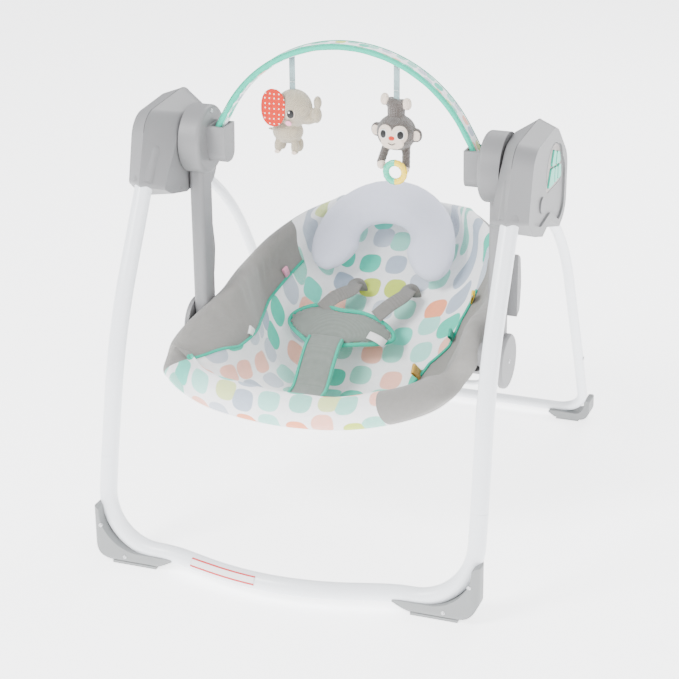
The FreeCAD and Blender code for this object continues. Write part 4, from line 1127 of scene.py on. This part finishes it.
SCREW_HEAD = [(0.2, 0.45), (1.3, 0.4), (1.4, 1.15), (2.4, 1.0), (3.0, 0.55), (3.3, -0.3), (3.2, -2.0),
    (0.2, -2.0)]
screws = []
for side in (-1, 1):
    screws.append((turned(f"foot_screw_{'lr'[side > 0]}_1", SCREW_HEAD, (side * 276, -289, 58), (0, -1, 0),
        steel), "frame"))
    screws.append((turned(f"foot_screw_{'lr'[side > 0]}_2", SCREW_HEAD, (side * 240, -289, 13), (0, -1, 0),
        steel), "frame"))
    screws.append((turned(f"cap_screw_{'lr'[side > 0]}", SCREW_HEAD, (side * 247, -8, 274), (side, 0, 0),
        steel), "swing"))
    screws.append((turned(f"drum_screw_{'lr'[side > 0]}", SCREW_HEAD, (side * 206.6, -8, 604),
        (-side, 0, 0), steel), "swing"))
for piece, body in screws:
    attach(piece, body)

# %% A dark line round each hub's seam, painted shade of the gap between the shells
def outer_ring(name, edge_x, bins=120):
    """Farthest vertex of a node's face at x = edge_x, in each of many equal angles."""
    node_mesh = frame["nodes"][name]
    spots = np.array([node_mesh.matrix_world @ v.co for v in node_mesh.data.vertices])
    spots = spots[np.abs(spots[:, 0] - edge_x) < 0.0004]
    middle = (spots.max(axis=0) + spots.min(axis=0)) / 2
    angle = np.arctan2(spots[:, 2] - middle[2], spots[:, 1] - middle[1])
    reach = np.hypot(spots[:, 1] - middle[1], spots[:, 2] - middle[2])
    slot = ((angle + math.pi) / (2 * math.pi) * bins).astype(int) % bins
    farthest = np.zeros(bins)
    np.maximum.at(farthest, slot, reach)
    rim = reach >= farthest[slot] - 1e-9
    order = np.argsort(angle[rim])
    return spots[rim][order]


for side, name in ((1, "hub_outer_shell_right"), (-1, "hub_outer_shell_left")):
    low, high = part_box(name)
    seam_x = low.x if side > 0 else high.x
    ring = outer_ring(name, seam_x)
    kept = np.concatenate([[True], np.linalg.norm(np.diff(ring, axis=0), axis=1) > 0.002])
    # The dark cord on the seam is painted shade: both shells are grey plastic, and the line stands for the
    # shadow in the narrow gap between them.
    seam = carry(f"hub_seam_painted_shade_{'lr'[side > 0]}", ring[kept], oval(0.00035, 0.00035, 6), (1, 0, 0),
        dark_plastic_and_seam_shade, closed=True)
    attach(seam, "frame")
    print("seam points", int(kept.sum()))

# %% The thin oval ring round the buttons
panel_low, panel_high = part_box("control_panel")
panel_middle = np.array((panel_low + panel_high) / 2)
a = np.linspace(0, 2 * math.pi, 96, endpoint=False)
reach = np.array([(panel_high.y - panel_low.y) / 2 - 0.002, (panel_high.z - panel_low.z) / 2 - 0.002])
egg_shape = 1 - 0.10 * np.sin(a) * np.cos(2 * a)
oval_line = np.stack([np.full(96, panel_high.x + 0.0002),
    panel_middle[1] + reach[0] * np.cos(a) * egg_shape, panel_middle[2] + reach[1] * np.sin(a) * egg_shape],
    axis=1)
panel_ring = carry("panel_ring", oval_line, oval(0.0009, 0.0007, 8), (1, 0, 0), housing_plastic,
    closed=True)
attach(panel_ring, "frame")

# %% [markdown]
# ## The stage
# A plain pale floor, three large soft lamps and a bright world stand in for a studio. The
# camera is a long lens a few metres away, a little above the hubs and to the right.

# %% Floor and lamps
floor_finish = hard_finish("pale floor", (252, 252, 253), 0.7, 40.0, 0.02, 0.0, Emission_Color=(1, 1, 1, 1),
    Emission_Strength=2.6)
side_count = np.linspace(-6, 6, 25)
floor_x, floor_y = np.meshgrid(side_count, side_count, indexing="ij")
floor_points = np.stack([floor_x, floor_y, np.zeros_like(floor_x)], axis=-1)
floor = make_piece("floor", floor_points, grid_quads(25, 25), floor_finish)

world = bpy.data.worlds.new("studio")
bpy.context.scene.world = world
world.use_nodes = True
world.node_tree.nodes["Background"].inputs["Color"].default_value = (0.95, 0.965, 1.0, 1)
world.node_tree.nodes["Background"].inputs["Strength"].default_value = 1.2


def soft_lamp(name, place, aim, size, power):
    lamp = bpy.data.lights.new(name, "AREA")
    lamp.shape, lamp.size, lamp.energy = "DISK", size, power
    holder = bpy.data.objects.new(name, lamp)
    holder.location = place
    holder.rotation_euler = (Vector(aim) - Vector(place)).to_track_quat("-Z", "Y").to_euler()
    bpy.context.scene.collection.objects.link(holder)


soft_lamp("key", (-1.6, -2.2, 2.6), (0, 0, 0.35), 1.3, 150)
soft_lamp("fill", (2.4, -1.6, 1.6), (0, 0, 0.35), 2.2, 52)
soft_lamp("back", (0.4, 2.4, 2.6), (0, 0, 0.4), 2.0, 85)

# %% The camera
AZIMUTH, ELEVATION, ROLL = np.radians([20.747, 21.901, -0.575]).tolist()
DISTANCE = 2.92077
aim = at_hubs([-15.65, 0.0, 270.07])
backwards = np.array([math.sin(AZIMUTH) * math.cos(ELEVATION), -math.cos(AZIMUTH) * math.cos(ELEVATION),
    math.sin(ELEVATION)])
level = unit(np.cross([0, 0, 1.0], backwards))
upright = np.cross(backwards, level)
right = level * math.cos(ROLL) + upright * math.sin(ROLL)
up = -level * math.sin(ROLL) + upright * math.cos(ROLL)
lens = bpy.data.cameras.new("camera")
lens.lens, lens.sensor_width = 104.66, 36.0
camera = bpy.data.objects.new("camera", lens)
place = aim + backwards * DISTANCE
camera.matrix_world = Matrix([(*row, where) for row,
    where in zip(np.stack([right, up, backwards], axis=1).tolist(), place.tolist())] + [(0, 0, 0, 1)])
bpy.context.scene.collection.objects.link(camera)
bpy.context.scene.camera = camera
